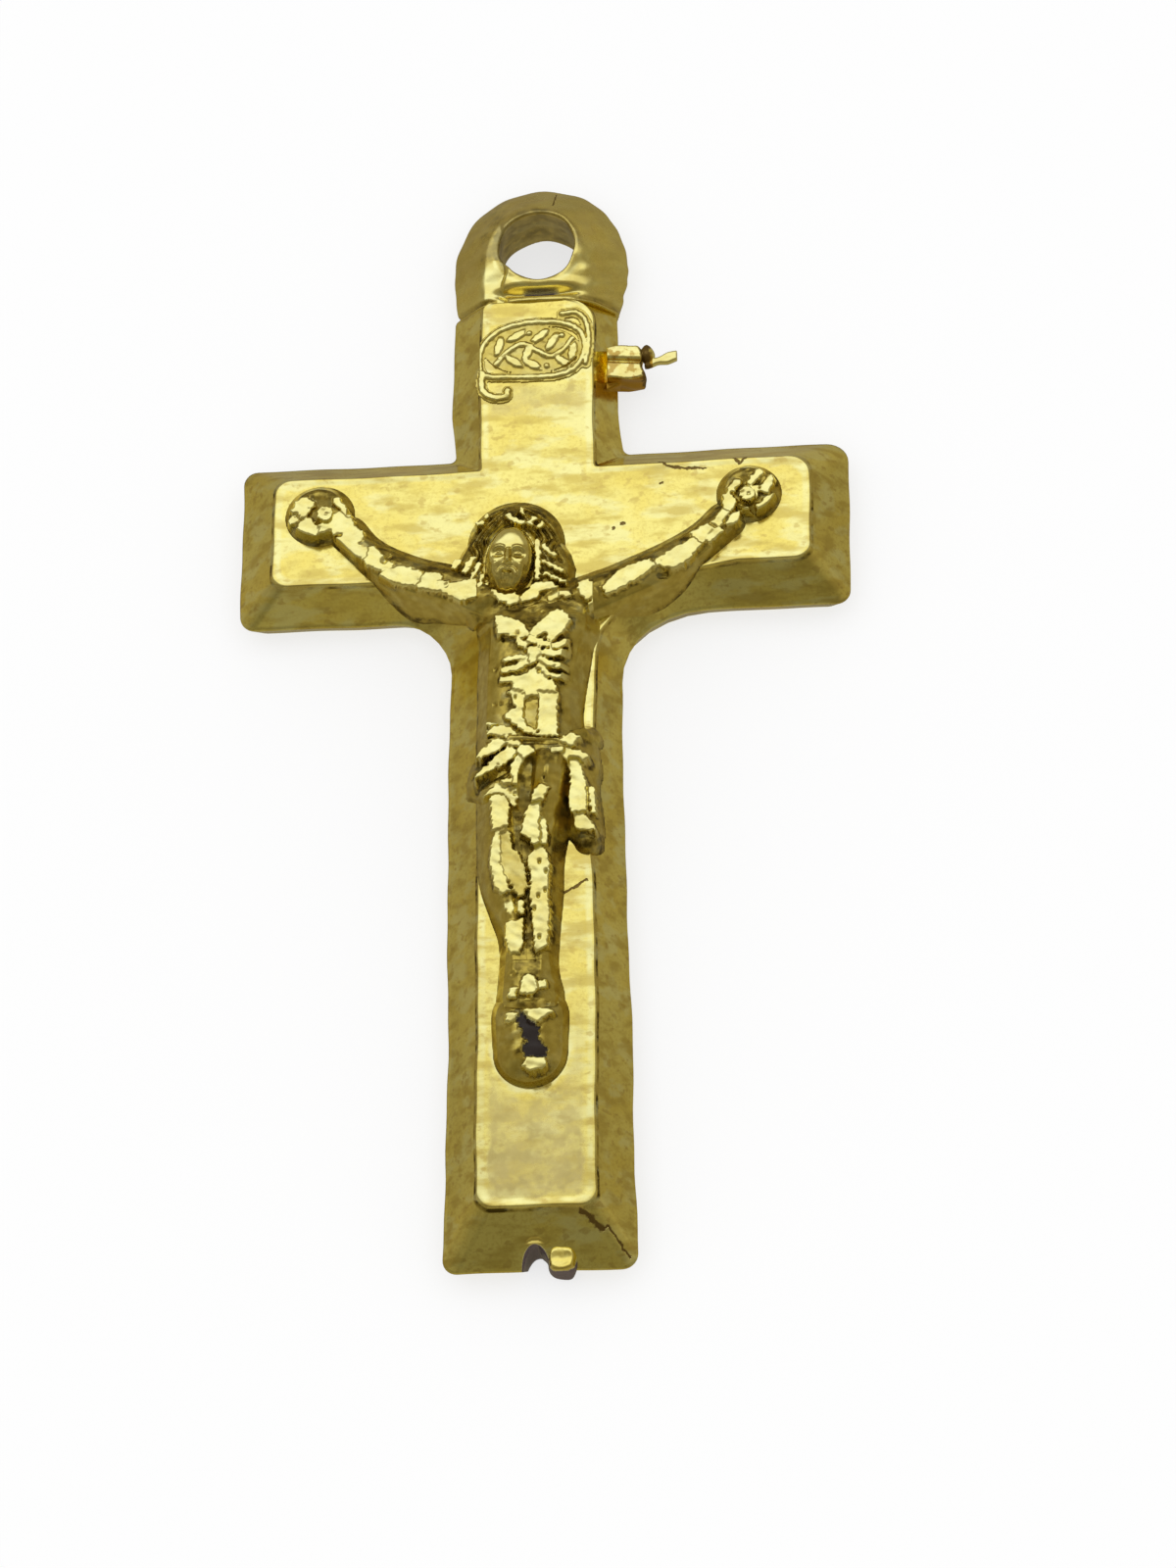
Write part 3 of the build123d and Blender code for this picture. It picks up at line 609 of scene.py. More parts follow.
class Relief:
    """Heights over the face on a fine grid, in millimetres from the crossing, raised and cut by hand.

    shade is the painted shade on level ground, and outline the painted shade at the foot of the walls.
    """

    def __init__(self, left, right, low, high, cell=fine_cell, shade=0.0, outline=0.85):
        self.cell, self.corner = cell, (left, low)
        self.x, self.y = np.meshgrid(np.arange(left, right, cell), np.arange(low, high, cell), indexing="ij")
        self.height = np.full(self.x.shape, deep)
        self.shine = np.zeros(self.x.shape)
        self.bare = np.zeros(self.x.shape)
        self.shade, self.outline, self.dark = shade, outline, 0.0
        self.fray = 0.03 * self.waves(5, 0.24)

    def follow(self, rows):
        """Distance from a smooth path, how far north of it that is, and the path's values and share there."""
        path = smooth_path(rows)
        length = np.concatenate([[0], np.cumsum(np.hypot(*np.diff(path[:, :2], axis=0).T))])
        path = np.column_stack([path, length / length[-1]])
        best = np.full(self.x.shape, far)
        north = np.zeros(self.x.shape)
        values = np.zeros((path.shape[1] - 2,) + self.x.shape)
        for start, end in zip(path, path[1:]):
            run = end[:2] - start[:2]
            share = ((self.x - start[0]) * run[0] + (self.y - start[1]) * run[1]) / max(run @ run, 1e-9)
            share = np.clip(share, 0, 1)
            beside, above = self.x - start[0] - share * run[0], self.y - start[1] - share * run[1]
            away = beside**2 + above**2
            closer = away < best
            best = np.where(closer, away, best)
            north = np.where(closer, above, north)
            values = np.where(closer, start[2:, None, None] + share * (end - start)[2:, None, None], values)
        away = np.sqrt(best)
        return away, north / np.maximum(away, 1e-6), values

    def raise_to(self, away, half, wall, crown, lean, full, blend):
        """Adds a form with leaning walls and a crowned top, and rounds where it meets what is there."""
        top = np.maximum(half - lean * wall, 0.2 * half)
        arch = wall + crown * (1 - np.minimum(away / top, 1) ** full)
        side = np.where(away < half, wall - (away - top) * wall / (half - top), (half - away) / 0.2)
        self.height = soft_max(self.height, np.where(away < top, arch, np.maximum(side, deep)), blend)
        return self

    def form(self, stations, full=2.0, blend=0.12):
        """A limb along a middle line: each station is x, y, half width, wall and crown.

        Its walls are steep to the south and long to the north, as the hand-cut mould left them.
        """
        away, north, (half, wall, crown, _) = self.follow(stations)
        lean = 0.6 + 0.3 * north
        return self.raise_to(away, half, wall, crown, lean, full, blend)

    def turned(self, x, y, turn):
        """Places measured from a point, along and across a direction in degrees."""
        cosine, sine = math.cos(math.radians(turn)), math.sin(math.radians(turn))
        east, north = self.x - x, self.y - y
        return east * cosine + north * sine, north * cosine - east * sine

    def dome(self, x, y, half_x, half_y, wall, crown, turn=0.0, lean=0.35, full=2.0, blend=0.08):
        """An egg standing out of the face on its own walls."""
        along, across = self.turned(x, y, turn)
        size = min(half_x, half_y)
        away = np.hypot(along / half_x, across / half_y) * size
        return self.raise_to(away, size, wall, crown, lean, full, blend)

    def swell(self, x, y, half_x, half_y, rise, turn=0.0):
        """A soft bulge on what is there, or a soft dip."""
        along, across = self.turned(x, y, turn)
        share = np.clip(1 - (along / half_x) ** 2 - (across / half_y) ** 2, 0, 1)
        self.height = self.height + rise * share**2
        return self

    def line(self, points, width, rise, ends=0.25):
        """A flat ridge along a path, or a round groove, which dies away over a share of it at both ends."""
        away, _, (share,) = self.follow(points)
        fade = np.clip(np.minimum(share, 1 - share) / ends, 0, 1) if ends else 1.0
        profile = np.exp(-((away / width) ** (4 if rise > 0 else 2)))
        self.height = self.height + rise * profile * np.sqrt(fade)
        return self

    def inside(self, outline):
        """How far each place lies inside an outline, in millimetres; less than 0 outside."""
        within = np.zeros(self.x.shape, bool)
        away = np.full(self.x.shape, far)
        for (x0, y0), (x1, y1) in zip(outline, outline[1:] + outline[:1]):
            run_x, run_y = x1 - x0, y1 - y0
            if run_y:
                within ^= ((y0 > self.y) != (y1 > self.y)) & (self.x < x0 + (self.y - y0) * run_x / run_y)
            share = np.clip(((self.x - x0) * run_x + (self.y - y0) * run_y) / (run_x**2 + run_y**2), 0, 1)
            away = np.minimum(away, np.hypot(self.x - x0 - share * run_x, self.y - y0 - share * run_y))
        return np.where(within, away, -away)

    def flatten(self, depth, level, edge=0.07, grow=0.03, reach=0.9, bright=1.0):
        """Brings what lies inside to one level, with a short frayed bevel, and paints a highlight on it.

        What lies lower than the level by more than the reach is left alone.
        """
        share = np.clip(1 + (depth + grow + self.fray) / edge, 0, 1)
        share = share * share * (3 - 2 * share) * np.clip((self.height - level + reach) / 0.15, 0, 1)
        self.height = self.height + (level - self.height) * share
        self.shine = self.shine + (bright - self.shine) * share
        return self

    def plates(self, rows, **bevel):
        """Facets, each with its level and its outline."""
        for level, outline in rows:
            self.flatten(self.inside(outline), level, **bevel)
        return self

    def strips(self, rows, **bevel):
        """Narrow facets, each with its level, its half width and its path."""
        for level, half, path in rows:
            self.flatten(half - self.follow(path)[0], level, **bevel)
        return self

    def paint_shade_inside(self, depth, amount, soft=0.08):
        """Paints shade inside and takes the painted highlight off there."""
        share = amount * np.clip(0.5 + depth / soft, 0, 1)
        self.dark = np.maximum(self.dark, share)
        self.shine = self.shine * (1 - share)
        return self

    def waves(self, seed, size):
        """Uneven waves of about one length, mostly between -1 and 1."""
        draw = np.random.default_rng(seed)
        total = np.zeros(self.x.shape)
        for _ in range(14):
            angle, phase = draw.uniform(0, 2 * math.pi, 2)
            wave = 2 * math.pi / (size * draw.uniform(0.6, 1.6))
            total += np.sin(wave * (self.x * math.cos(angle) + self.y * math.sin(angle)) + phase)
        return total / 4

    def roughen(self, seed, size, amount):
        """Uneven skin of a worn mould."""
        self.height = self.height + amount * self.waves(seed, size)
        return self

    def pits(self, seed, count, size, depth):
        """Small dents where the coat ran or the mould was chipped."""
        draw = np.random.default_rng(seed)
        high = np.argwhere(self.height > 0.3)
        for index in draw.choice(len(high), count):
            i, j = high[index]
            scale = draw.uniform(0.6, 1.4)
            length, turn = draw.uniform(0.6, 1.8), draw.uniform(0, 180)
            self.swell(self.x[i, j], self.y[i, j], size * scale, size * scale * length, -depth * scale, turn)
        return self

    def painted_shade_map(self):
        """Painted shade: most in narrow dips and at the foot of the walls, least on facets with painted
        highlights.

        Slopes get more painted shade to the north, and level ground has the piece's own shade.
        """
        under = bed(self.x, self.y)
        level = np.maximum(self.height, under - 0.1)
        dips = 0
        spread = level
        for turn in range(24):
            spread = (spread + np.roll(spread, 1, 0) + np.roll(spread, -1, 0)) / 3
            spread = (spread + np.roll(spread, 1, 1) + np.roll(spread, -1, 1)) / 3
            if turn in (5, 23):
                dips = dips + 0.45 * np.clip((spread - level - 0.015) / 0.09, 0, 1)
        slope_x, slope_y = np.gradient(level, self.cell)
        steep = np.hypot(slope_x, slope_y)
        tilted = np.clip((steep - 0.15) / 0.35, 0, 1)
        to_north = np.clip(-slope_y / np.maximum(steep, 0.3), 0, 1)
        slope_shade = self.shade * (1 - tilted) + (0.42 + 0.4 * to_north) * tilted
        base = self.outline * np.clip(1 - (self.height - under) / 0.25, 0, 1)
        return np.clip(np.maximum(base, slope_shade + dips) + self.dark, 0, 0.88) * (1 - 0.95 * self.shine)

    def solid(self, name, sunk=0.08, cuts=()):
        """The closed piece between the relief and the cross under it, less what lies past the cuts."""
        floor = bed(self.x, self.y) - sunk
        low = floor.min() - 3 * self.cell
        z = np.arange(low, self.height.max() + 4 * self.cell, self.cell)[None, None, :]
        field = np.maximum(z - self.height[:, :, None], floor[:, :, None] - z)
        for past in cuts:
            field = np.maximum(field, past[:, :, None])
        left, south = self.corner[0], self.corner[1] + crossing_y
        piece = skin(name, shut(field).astype(np.float32), (left, south, low + face_z), self.cell)
        x, y, _ = vertex_places(piece)
        column = np.clip(((x - left) / self.cell).round().astype(int), 0, self.x.shape[0] - 1)
        row = np.clip(((y - south) / self.cell).round().astype(int), 0, self.x.shape[1] - 1)
        piece.data.set_sharp_from_angle(angle=math.radians(70))
        for label, values in (("painted_shade", self.painted_shade_map()), ("painted_highlight", self.shine), ("bare", self.bare)):
            paint(piece, label, values[column, row])
        return piece


chest = [
    (-0.05, -2.9, 1.5, 0.35, 0.25), (-0.02, -3.6, 2.0, 0.5, 0.3), (0.05, -4.4, 2.2, 0.72, 0.36),
    (0.0, -5.0, 2.06, 0.8, 0.4), (-0.08, -5.8, 2.02, 0.8, 0.4), (-0.17, -6.8, 1.95, 0.78, 0.4),
    (-0.22, -7.8, 1.9, 0.74, 0.4), (-0.2, -8.6, 1.92, 0.72, 0.38), (-0.15, -9.6, 1.96, 0.7, 0.35),
]
right_limb = [
    (-1.3, -3.3, 1.0, 0.5, 0.28), (-3.1, -2.5, 0.9, 0.48, 0.25), (-4.25, -2.15, 0.88, 0.46, 0.25),
    (-5.4, -1.55, 0.8, 0.44, 0.25), (-6.2, -0.85, 0.68, 0.42, 0.22), (-6.8, -0.15, 0.72, 0.4, 0.2),
]
left_limb = [
    (1.4, -3.4, 1.0, 0.5, 0.28), (2.9, -2.8, 0.92, 0.48, 0.25), (3.9, -2.35, 0.9, 0.46, 0.25),
    (4.95, -1.8, 0.84, 0.44, 0.25), (6.0, -1.05, 0.74, 0.42, 0.22), (6.75, -0.35, 0.76, 0.4, 0.2),
]
shoulder_cut, armpit_cut, waist_cut, seam_lap = 2.1, -4.4, -9.8, 0.06


def shoulders(relief):
    """Chest and shoulders, raised alike on the torso's grid and on the arms' so that they run on."""
    relief.form(right_limb).form(left_limb).form(chest, full=3.0, blend=0.25)
    relief.swell(-1.65, -3.35, 0.6, 0.4, 0.12, turn=20).swell(1.75, -3.4, 0.55, 0.45, 0.16, turn=-20)
    return relief


relief = shoulders(Relief(-2.8, 2.8, -10.0, -1.6, shade=0.8))
relief.swell(-0.35, -3.55, 0.5, 0.3, 0.2).swell(0.72, -3.3, 0.65, 0.35, 0.24, turn=15)
relief.line([(-0.1, -3.9), (0.05, -4.4), (0.1, -4.8)], 0.3, -0.12)
chest_plates = [
    (1.36, [(-1.3, -4.42), (-0.78, -4.56), (-0.4, -4.74), (-0.08, -5.29), (-0.5, -5.31), (-0.88, -5.14),
            (-1.23, -5.12)]),
    (1.38, [(-0.08, -5.15), (0.44, -4.56), (0.85, -4.27), (1.17, -4.44), (1.3, -4.68), (1.1, -5.1),
            (0.71, -5.5), (0.54, -5.45), (0.54, -5.03), (0.19, -5.28), (0.06, -5.43)]),
    (1.42, [(-0.11, -5.71), (0.27, -5.81), (0.37, -5.97), (0.06, -6.34), (-0.08, -6.4), (-0.18, -6.01)]),
    (1.3, [(-1.13, -6.83), (-0.47, -6.82), (-0.19, -6.72), (0.05, -6.51), (0.22, -6.75), (0.74, -7.12),
           (0.88, -7.62), (0.26, -7.55), (-0.33, -7.6), (-0.85, -7.42), (-0.61, -7.12), (-0.74, -7),
           (-1.13, -6.98)]),
    (1.26, [(-0.78, -7.33), (-0.33, -7.5), (-0.4, -8.34), (-0.26, -8.73), (0.29, -9.1), (-0.26, -8.96),
            (-0.99, -8.31), (-0.57, -8.03)]),
    (1.26, [(0.25, -7.49), (0.84, -7.56), (0.81, -8.4), (0.84, -9.17), (0.36, -9.14), (0.19, -8.83),
            (0.25, -7.99)]),
    (0.95, [(-1.5, -3.14), (-1.11, -3.4), (-0.62, -3.35), (-0.52, -3.59), (-0.83, -3.8), (-1.29, -3.54)]),
    (1, [(-0.44, -3.54), (0.05, -2.98), (0.6, -3.01), (0.81, -3.18), (0.25, -3.3), (0.08, -3.57),
         (-0.41, -3.7)]),
    (0.95, [(1.58, -3.08), (1.92, -2.94), (2.24, -3.31), (1.92, -3.76), (1.68, -3.51)]),
]
ribs = [
    (1.4, 0.08, [(-0.11, -5.43), (0.44, -5.61), (0.65, -5.7)]),
    (1.36, 0.07, [(0.78, -5.69), (0.99, -5.66), (1.2, -5.52)]),
    (1.4, 0.10, [(0.44, -5.96), (0.86, -6.02), (1.34, -5.89)]),
    (1.38, 0.07, [(0.27, -6.21), (0.58, -6.38), (0.92, -6.48), (1.27, -6.49)]),
    (1.34, 0.06, [(0.23, -6.46), (0.57, -6.78), (0.92, -6.88), (1.47, -6.75)]),
    (1.36, 0.08, [(-0.47, -5.51), (-0.29, -5.63)]),
    (1.36, 0.06, [(-0.98, -6.17), (-0.64, -6.11), (-0.26, -6.1)]),
    (1.36, 0.07, [(-1.02, -6.56), (-0.6, -6.5), (-0.26, -6.33)]),
    (0.92, 0.06, [(1.99, -3.94), (2.16, -3.72)]),
    (0.9, 0.07, [(0.59, -3.58), (0.84, -3.48)]),
    (0.95, 0.09, [(1.02, -3.44), (1.19, -3.48)]),
]
# The facets, the ribs and the strip down the belly carry painted highlights.
relief.strips([(1.14, 0.26, [(-0.06, -7.7), (-0.02, -8.2), (0.0, -8.75)])], bright=0.35)
relief.plates(chest_plates).strips(ribs, reach=0.5)
# Painted shade in a small dark spot on the chest.
relief.paint_shade_inside(0.1 - np.hypot(relief.x + 0.55, relief.y + 5.13), 1.0).swell(-0.62, -7.6, 0.06, 0.1, -0.12)
relief.roughen(11, 0.5, 0.004).pits(12, 12, 0.08, 0.05)
past_shoulders = np.minimum(np.abs(relief.x) - shoulder_cut, relief.y - armpit_cut)
torso = relief.solid("torso_moulding", cuts=[past_shoulders, waist_cut - relief.y])
figure_gold = gold_plating("gold on the figure", waves=2.0, dents=3.0)
mount(torso, "torso", figure_gold)

# Arms
# Both arms rise from the shoulders to the nailed hands, which lie open with the fingers curled up round
# the nail. They are one relief with the chest; the seam is cut square just past the shoulder.
right_palm, left_palm = (-7.56, 0.33), (7.61, 0.3)
relief = shoulders(Relief(-10.2, -1.6, -4.9, 2.5, shade=0.8))
relief.dome(-7.85, 0.62, 1.27, 1.22, 0.5, 0.1, lean=0.75, full=3.0)
relief.swell(-7.75, 0.5, 0.9, 0.85, -0.2)
right_plates = [
    (0.74, [(-5.56, -2.38), (-5.32, -2.12), (-4.69, -2.03), (-4.12, -2.3), (-4.08, -2.66), (-4.75, -2.54)]),
    (0.8, [(-4.11, -2.8), (-3.87, -2.39), (-3.45, -2.41), (-3.34, -2.92)]),
    (0.82, [(-3.34, -2.74), (-2.78, -2.85), (-2.18, -2.72), (-2.14, -3.24), (-2.63, -3.37),
            (-3.19, -3.02)]),
    (0.72, [(-6.15, -1.39), (-5.83, -1.17), (-5.47, -1.63), (-5.22, -1.88), (-5.5, -1.94), (-5.96, -1.72)]),
    (0.66, [(-7.15, -0.71), (-6.84, -0.65), (-6.12, -1.24), (-6.19, -1.4), (-6.83, -1.01)]),
    (0.66, [(-6.91, -0.29), (-6.78, -0.06), (-6.27, -0.52), (-6.31, -0.72), (-6.77, -0.61)]),
    (0.66, [(-7.9, -0.47), (-7.73, -0.12), (-7.07, 0.36), (-6.74, 0.18), (-6.63, -0.1), (-7.12, -0.39)]),
    (0.6, [(-8.55, -0.24), (-8.42, 0.07), (-8.17, 0.17), (-7.92, -0.24), (-7.98, -0.43)]),
    (0.62, [(-8.71, 0.59), (-8.5, 0.74), (-8.25, 0.53), (-8.42, 0.38)]),
    (0.62, [(-8.57, 0.9), (-8.33, 1.01), (-8.07, 0.84), (-8.29, 0.69)]),
]
right_strips = [
    (0.62, 0.08, [(-7.19, 0.94), (-6.97, 0.65), (-6.72, 0.36)]),
    (0.5, 0.08, [(-8.86, 0.19), (-8.69, 0.34)]),
]
# The plates and strips carry painted highlights.
relief.plates(right_plates, grow=0.11, reach=0.5).strips(right_strips, reach=0.5)
relief.line([(-5.15, -1.35), (-5.5, -1.75)], 0.09, -0.12)
relief.roughen(21, 0.45, 0.005).pits(22, 9, 0.08, 0.025)
below_armpit = armpit_cut - seam_lap - relief.y
right_arm = relief.solid("right_arm_moulding", cuts=[relief.x + shoulder_cut - seam_lap, below_armpit])
mount(right_arm, "right_arm", figure_gold)

relief = shoulders(Relief(1.6, 10.0, -4.9, 2.5, shade=0.8))
relief.dome(7.62, 0.68, 1.18, 1.16, 0.5, 0.1, lean=0.75, full=3.0)
relief.swell(7.6, 0.5, 0.85, 0.85, -0.2)
left_plates = [
    (0.82, [(2.47, -3.21), (3.03, -2.58), (4.08, -2.21), (4.29, -2.37), (3.72, -2.85), (2.89, -3.27),
            (2.54, -3.41)]),
    (0.76, [(4.32, -2.23), (5.05, -1.76), (5.75, -1.36), (6, -1.49), (5.4, -2.25), (4.77, -2.56)]),
    (0.7, [(5.61, -1.13), (6.17, -0.84), (6.35, -1.05), (5.96, -1.5)]),
    (0.66, [(6.38, -0.75), (6.74, -0.26), (6.91, -0.35), (6.56, -0.84)]),
    (0.66, [(6.87, -0.82), (7.05, -0.48), (7.51, -0.23), (7.71, -0.36), (7.4, -0.69)]),
    (0.62, [(6.74, 0.31), (6.92, 0.46), (7.16, 0.09), (7.01, -0.22), (6.81, -0.16)]),
]
left_strips = [
    (0.68, 0.09, [(6.24, -1.39), (6.59, -1.05)]),
    (0.62, 0.10, [(7.06, 0.65), (7.24, 0.84)]),
    (0.62, 0.11, [(7.48, 0.39), (7.55, 0.55)]),
    (0.62, 0.11, [(7.83, 0.33), (7.87, 0.57)]),
    (0.62, 0.10, [(8.18, 0.55), (8.36, 0.78)]),
    (0.6, 0.10, [(8.03, -0.18), (8.28, 0.04), (8.52, 0.22)]),
    (0.62, 0.09, [(7.73, 0.82), (8.05, 1.24)]),
    (0.62, 0.09, [(8.25, 0.48), (8.47, 1.02)]),
]
# The plates and strips carry painted highlights.
relief.plates(left_plates, grow=0.05, reach=0.5).strips(left_strips, reach=0.5)
relief.swell(4.6, -2.68, 0.34, 0.16, -0.16, turn=25)
# Painted shade in the dent on the left upper arm.
relief.paint_shade_inside(0.07 - relief.follow([(4.4, -2.72), (4.62, -2.68), (4.75, -2.56)])[0], 0.8)
relief.roughen(31, 0.45, 0.005).pits(32, 9, 0.08, 0.025)
below_armpit = armpit_cut - seam_lap - relief.y
left_arm = relief.solid("left_arm_moulding", cuts=[shoulder_cut - seam_lap - relief.x, below_armpit])
mount(left_arm, "left_arm", figure_gold)

# Head
# The bowed, bearded head with a centre parting and wavy hair down to the shoulders. The face is a calm
# general one on school-book proportions, raised in the same relief as the body.
head_x, head_y, head_tilt = -0.88, -2.0, -5.0
head_grid, head_cell = (-3.3, 1.9, -4.2, 1.3), 0.03
face_half_width, face_half_height = 1.02, 1.58
relief = Relief(*head_grid, cell=head_cell)
relief.form([(-0.74, -0.95, 1.76, 0.45, 0.5), (-0.76, -1.4, 2.02, 0.45, 0.46), (-0.78, -2.1, 2.2, 0.42, 0.4),
             (-0.7, -2.75, 2.1, 0.38, 0.3)], full=2.4)
for lock in range(5):
    reach = 0.27 * lock
    relief.line([(-1.0, 0.3 - 0.1 * lock), (-1.75 + reach * 0.8, -0.25 - reach * 0.5), (-2.3 + reach, -1.0),
                 (-2.2 + reach, -1.6), (-2.45 + reach, -2.2)], 0.07, -0.16, ends=0.1)
    relief.line([(-0.6, 0.3 - 0.1 * lock), (0.2 - reach * 0.8, -0.25 - reach * 0.5), (0.75 - reach, -1.0),
                 (0.66 - reach, -1.5), (0.95 - reach, -2.0)], 0.07, -0.16, ends=0.1)
locks = [
    (1, 0.10, [(-0.91, -0.25), (-0.66, -0.46), (-0.42, -0.55)]),
    (0.9, 0.08, [(-0.15, -0.52), (-0.01, -0.33)]),
    (0.9, 0.07, [(0.17, -0.69), (0.28, -0.54)]),
    (0.85, 0.06, [(-0.47, 0.08), (-0.4, -0.08)]),
    (0.85, 0.07, [(-2.05, -0.46), (-1.87, -0.39)]),
    (0.85, 0.06, [(-1.74, -0.24), (-1.7, -0.09)]),
    (0.95, 0.10, [(0.11, -1.31), (0.14, -2.02), (0.11, -2.72)]),
    (0.8, 0.07, [(0.34, -1.4), (0.51, -1.68), (0.76, -1.81)]),
    (0.8, 0.07, [(0.34, -2.03), (0.65, -2.24), (1, -2.46)]),
    (0.8, 0.06, [(0.37, -2.5), (0.72, -2.72), (1.11, -2.93)]),
    (0.6, 0.13, [(-2.91, -1.94), (-2.78, -1.79)]),
    (0.7, 0.09, [(-2.51, -2.25), (-2.38, -1.98), (-2.24, -1.75)]),
    (0.75, 0.07, [(-2.26, -2.64), (-2.12, -2.3), (-1.98, -1.99)]),
    (0.75, 0.07, [(-2.08, -3.12), (-1.94, -2.74), (-1.84, -2.43)]),
    (0.7, 0.07, [(-1.81, -3.43), (-1.74, -3.08), (-1.7, -2.81)]),
]
along, across = relief.turned(head_x, head_y, head_tilt)
from_face = np.hypot(along / face_half_width, across / face_half_height)
relief.height = np.minimum(relief.height, 0.62 + 1.2 * np.maximum(from_face - 0.98, 0))
# The locks carry painted highlights.
relief.strips(locks, edge=0.06, grow=0.0)
face = Relief(*head_grid, cell=head_cell)
face.dome(head_x, head_y, face_half_width, face_half_height, 1.08, 0.34, turn=head_tilt, lean=0.2, full=6.0)
face.height -= 0.3 * np.clip((head_y + 0.1 - face.y) / 1.4, 0, 1)
tilt = math.radians(head_tilt)


def on_face(across, up):
    """A place on the tilted head, from its middle, in millimetres."""
    return (head_x + across * math.cos(tilt) - up * math.sin(tilt),
            head_y + across * math.sin(tilt) + up * math.cos(tilt))


def swell_face(across, up, half_x, half_y, rise):
    face.swell(*on_face(across, up), half_x, half_y, rise)


def line_face(points, width, rise, ends=0.25):
    face.line([on_face(across, up) for across, up in points], width, rise, ends)


brow, nose_base, mouth, chin = 0.24, -0.38, -0.62, -1.2
for side in (-1, 1):
    swell_face(side * 0.36, 0.06, 0.36, 0.24, -0.14)
    swell_face(side * 0.34, 0.03, 0.2, 0.13, 0.09)
    line_face([(side * 0.12, brow), (side * 0.34, brow + 0.05), (side * 0.58, brow - 0.05)], 0.08, 0.06)
    line_face([(side * 0.2, 0.0), (side * 0.34, -0.02), (side * 0.48, 0.0)], 0.04, -0.06)
    swell_face(side * 0.45, -0.3, 0.3, 0.26, 0.06)
    swell_face(side * 0.1, nose_base + 0.04, 0.1, 0.09, 0.09)
    moustache = [(side * 0.03, mouth + 0.1), (side * 0.22, mouth + 0.04), (side * 0.36, mouth - 0.2)]
    line_face(moustache, 0.08, 0.09)
    line_face([(side * 0.5, -0.3), (side * 0.45, -0.7), (side * 0.2, chin)], 0.12, 0.1)
line_face([(0, brow), (0, -0.1), (0, nose_base + 0.05)], 0.09, 0.2, ends=0.2)
swell_face(0, nose_base + 0.06, 0.13, 0.12, 0.1)
line_face([(-0.17, mouth), (0, mouth - 0.01), (0.17, mouth)], 0.04, -0.1)
swell_face(0, mouth - 0.1, 0.16, 0.08, 0.07)
swell_face(0, chin + 0.05, 0.38, 0.36, 0.14)
for strand in range(-3, 4):
    top = -0.85 + 0.02 * abs(strand)
    line_face([(strand * 0.11, top), (strand * 0.07, -1.1), (strand * 0.03, -1.4)], 0.03, -0.06)
# Painted shade on the hair, darkest in a ring round the face and darker towards the chin; a painted highlight
# on the forehead.
on_cheeks = from_face < 0.92
low_face = np.clip((-0.25 - across) / 0.5, 0, 1)
relief.shade = np.where(on_cheeks, 0.0, 0.75)
relief.dark = np.where(on_cheeks, 0.3 * low_face, 0.15 + 0.6 * np.exp(-(((from_face - 1.02) / 0.13) ** 2)))
relief.shine = np.where(on_cheeks, 0.35 + 0.5 * np.clip((across - 0.3) / 0.2, 0, 1), relief.shine)
relief.height = soft_max(relief.height, face.height, 0.06)
head = relief.roughen(41, 0.5, 0.005).solid("head_moulding")
mount(head, "head", figure_gold)

# Legs
# The left knee stands forward under the cloth and both shins close in towards the ankles, with a valley
# between them. They are part of the same relief, with small dents along the shins.
leg_plates = [
    (1.5, [(0.28, -11.14), (0.56, -11.27), (0.25, -11.89), (-0.06, -11.95), (0.08, -11.43)]),
    (1.3, [(-0.08, -11.86), (0.23, -11.8), (0.2, -12.1), (0.3, -12.4), (0.27, -13.22), (0.1, -13.36),
           (-0.18, -13.01), (-0.38, -12.89), (-0.21, -12.08)]),
    (1, [(-0.11, -13.59), (0.23, -13.31), (0.44, -13.5), (0.54, -13.99), (0.47, -14.84), (0.54, -15.96),
         (0.47, -16.95), (0.1, -17.23), (0, -16.12), (-0.1, -15), (-0.04, -14.37), (-0.18, -13.88)]),
    (1.08, [(-1.48, -11.31), (-1.24, -11.17), (-0.96, -11.33), (-0.86, -11.79), (-0.92, -12.43),
            (-1.4, -12.55), (-1.44, -11.99)]),
    (1.02, [(-1.5, -13.75), (-1.4, -13.01), (-1.24, -12.65), (-1.2, -13.84), (-0.85, -14.9), (-1.09, -15),
            (-1.33, -14.69)]),
    (0.86, [(-1, -15.38), (-0.8, -15.31), (-0.7, -15.47), (-0.83, -15.68)]),
    (0.86, [(-0.93, -16.08), (-0.7, -16.06), (-0.39, -15.93), (-0.42, -16.85), (-0.52, -17.14),
            (-0.79, -17.16), (-0.96, -16.67)]),
]
half_lit_shin = [
    (0.98, [(-1.1, -12.78), (-0.86, -12.72), (-0.79, -13.32), (-0.55, -13.48), (-0.31, -14.13),
            (-0.24, -14.8), (-0.48, -15.16), (-0.72, -14.7), (-1.1, -14.02)]),
]
leg_strips = [
    (1.16, 0.06, [(0.35, -12.41), (0.42, -12.87), (0.39, -13.16)]),
    (0.9, 0.07, [(-0.45, -15.31), (-0.42, -15.68)]),
]
foot_plates = [
    (1.02, [(-0.37, -18.31), (-0.2, -18.1), (0.01, -18.18), (0.21, -18.56), (-0.09, -18.83),
            (-0.43, -18.75)]),
    (0.92, [(0.2, -18.37), (0.4, -18.3), (0.43, -18.49), (0.26, -18.59)]),
    (0.88, [(-0.85, -18.85), (-0.79, -18.56), (-0.62, -18.53), (-0.65, -18.86)]),
]
leg_dents = [(0.21, -13.85), (0.44, -14.23), (0.41, -14.94), (0.17, -15.15), (0.04, -15.62), (0.21, -16.7),
             (0.41, -10.82)]
knee_arch = [(-0.62, -12.29), (-0.56, -11.39), (-0.35, -10.5), (0.06, -9.91), (0.68, -9.72), (1.16, -10.04),
             (1.33, -10.73), (1.22, -11.78)]
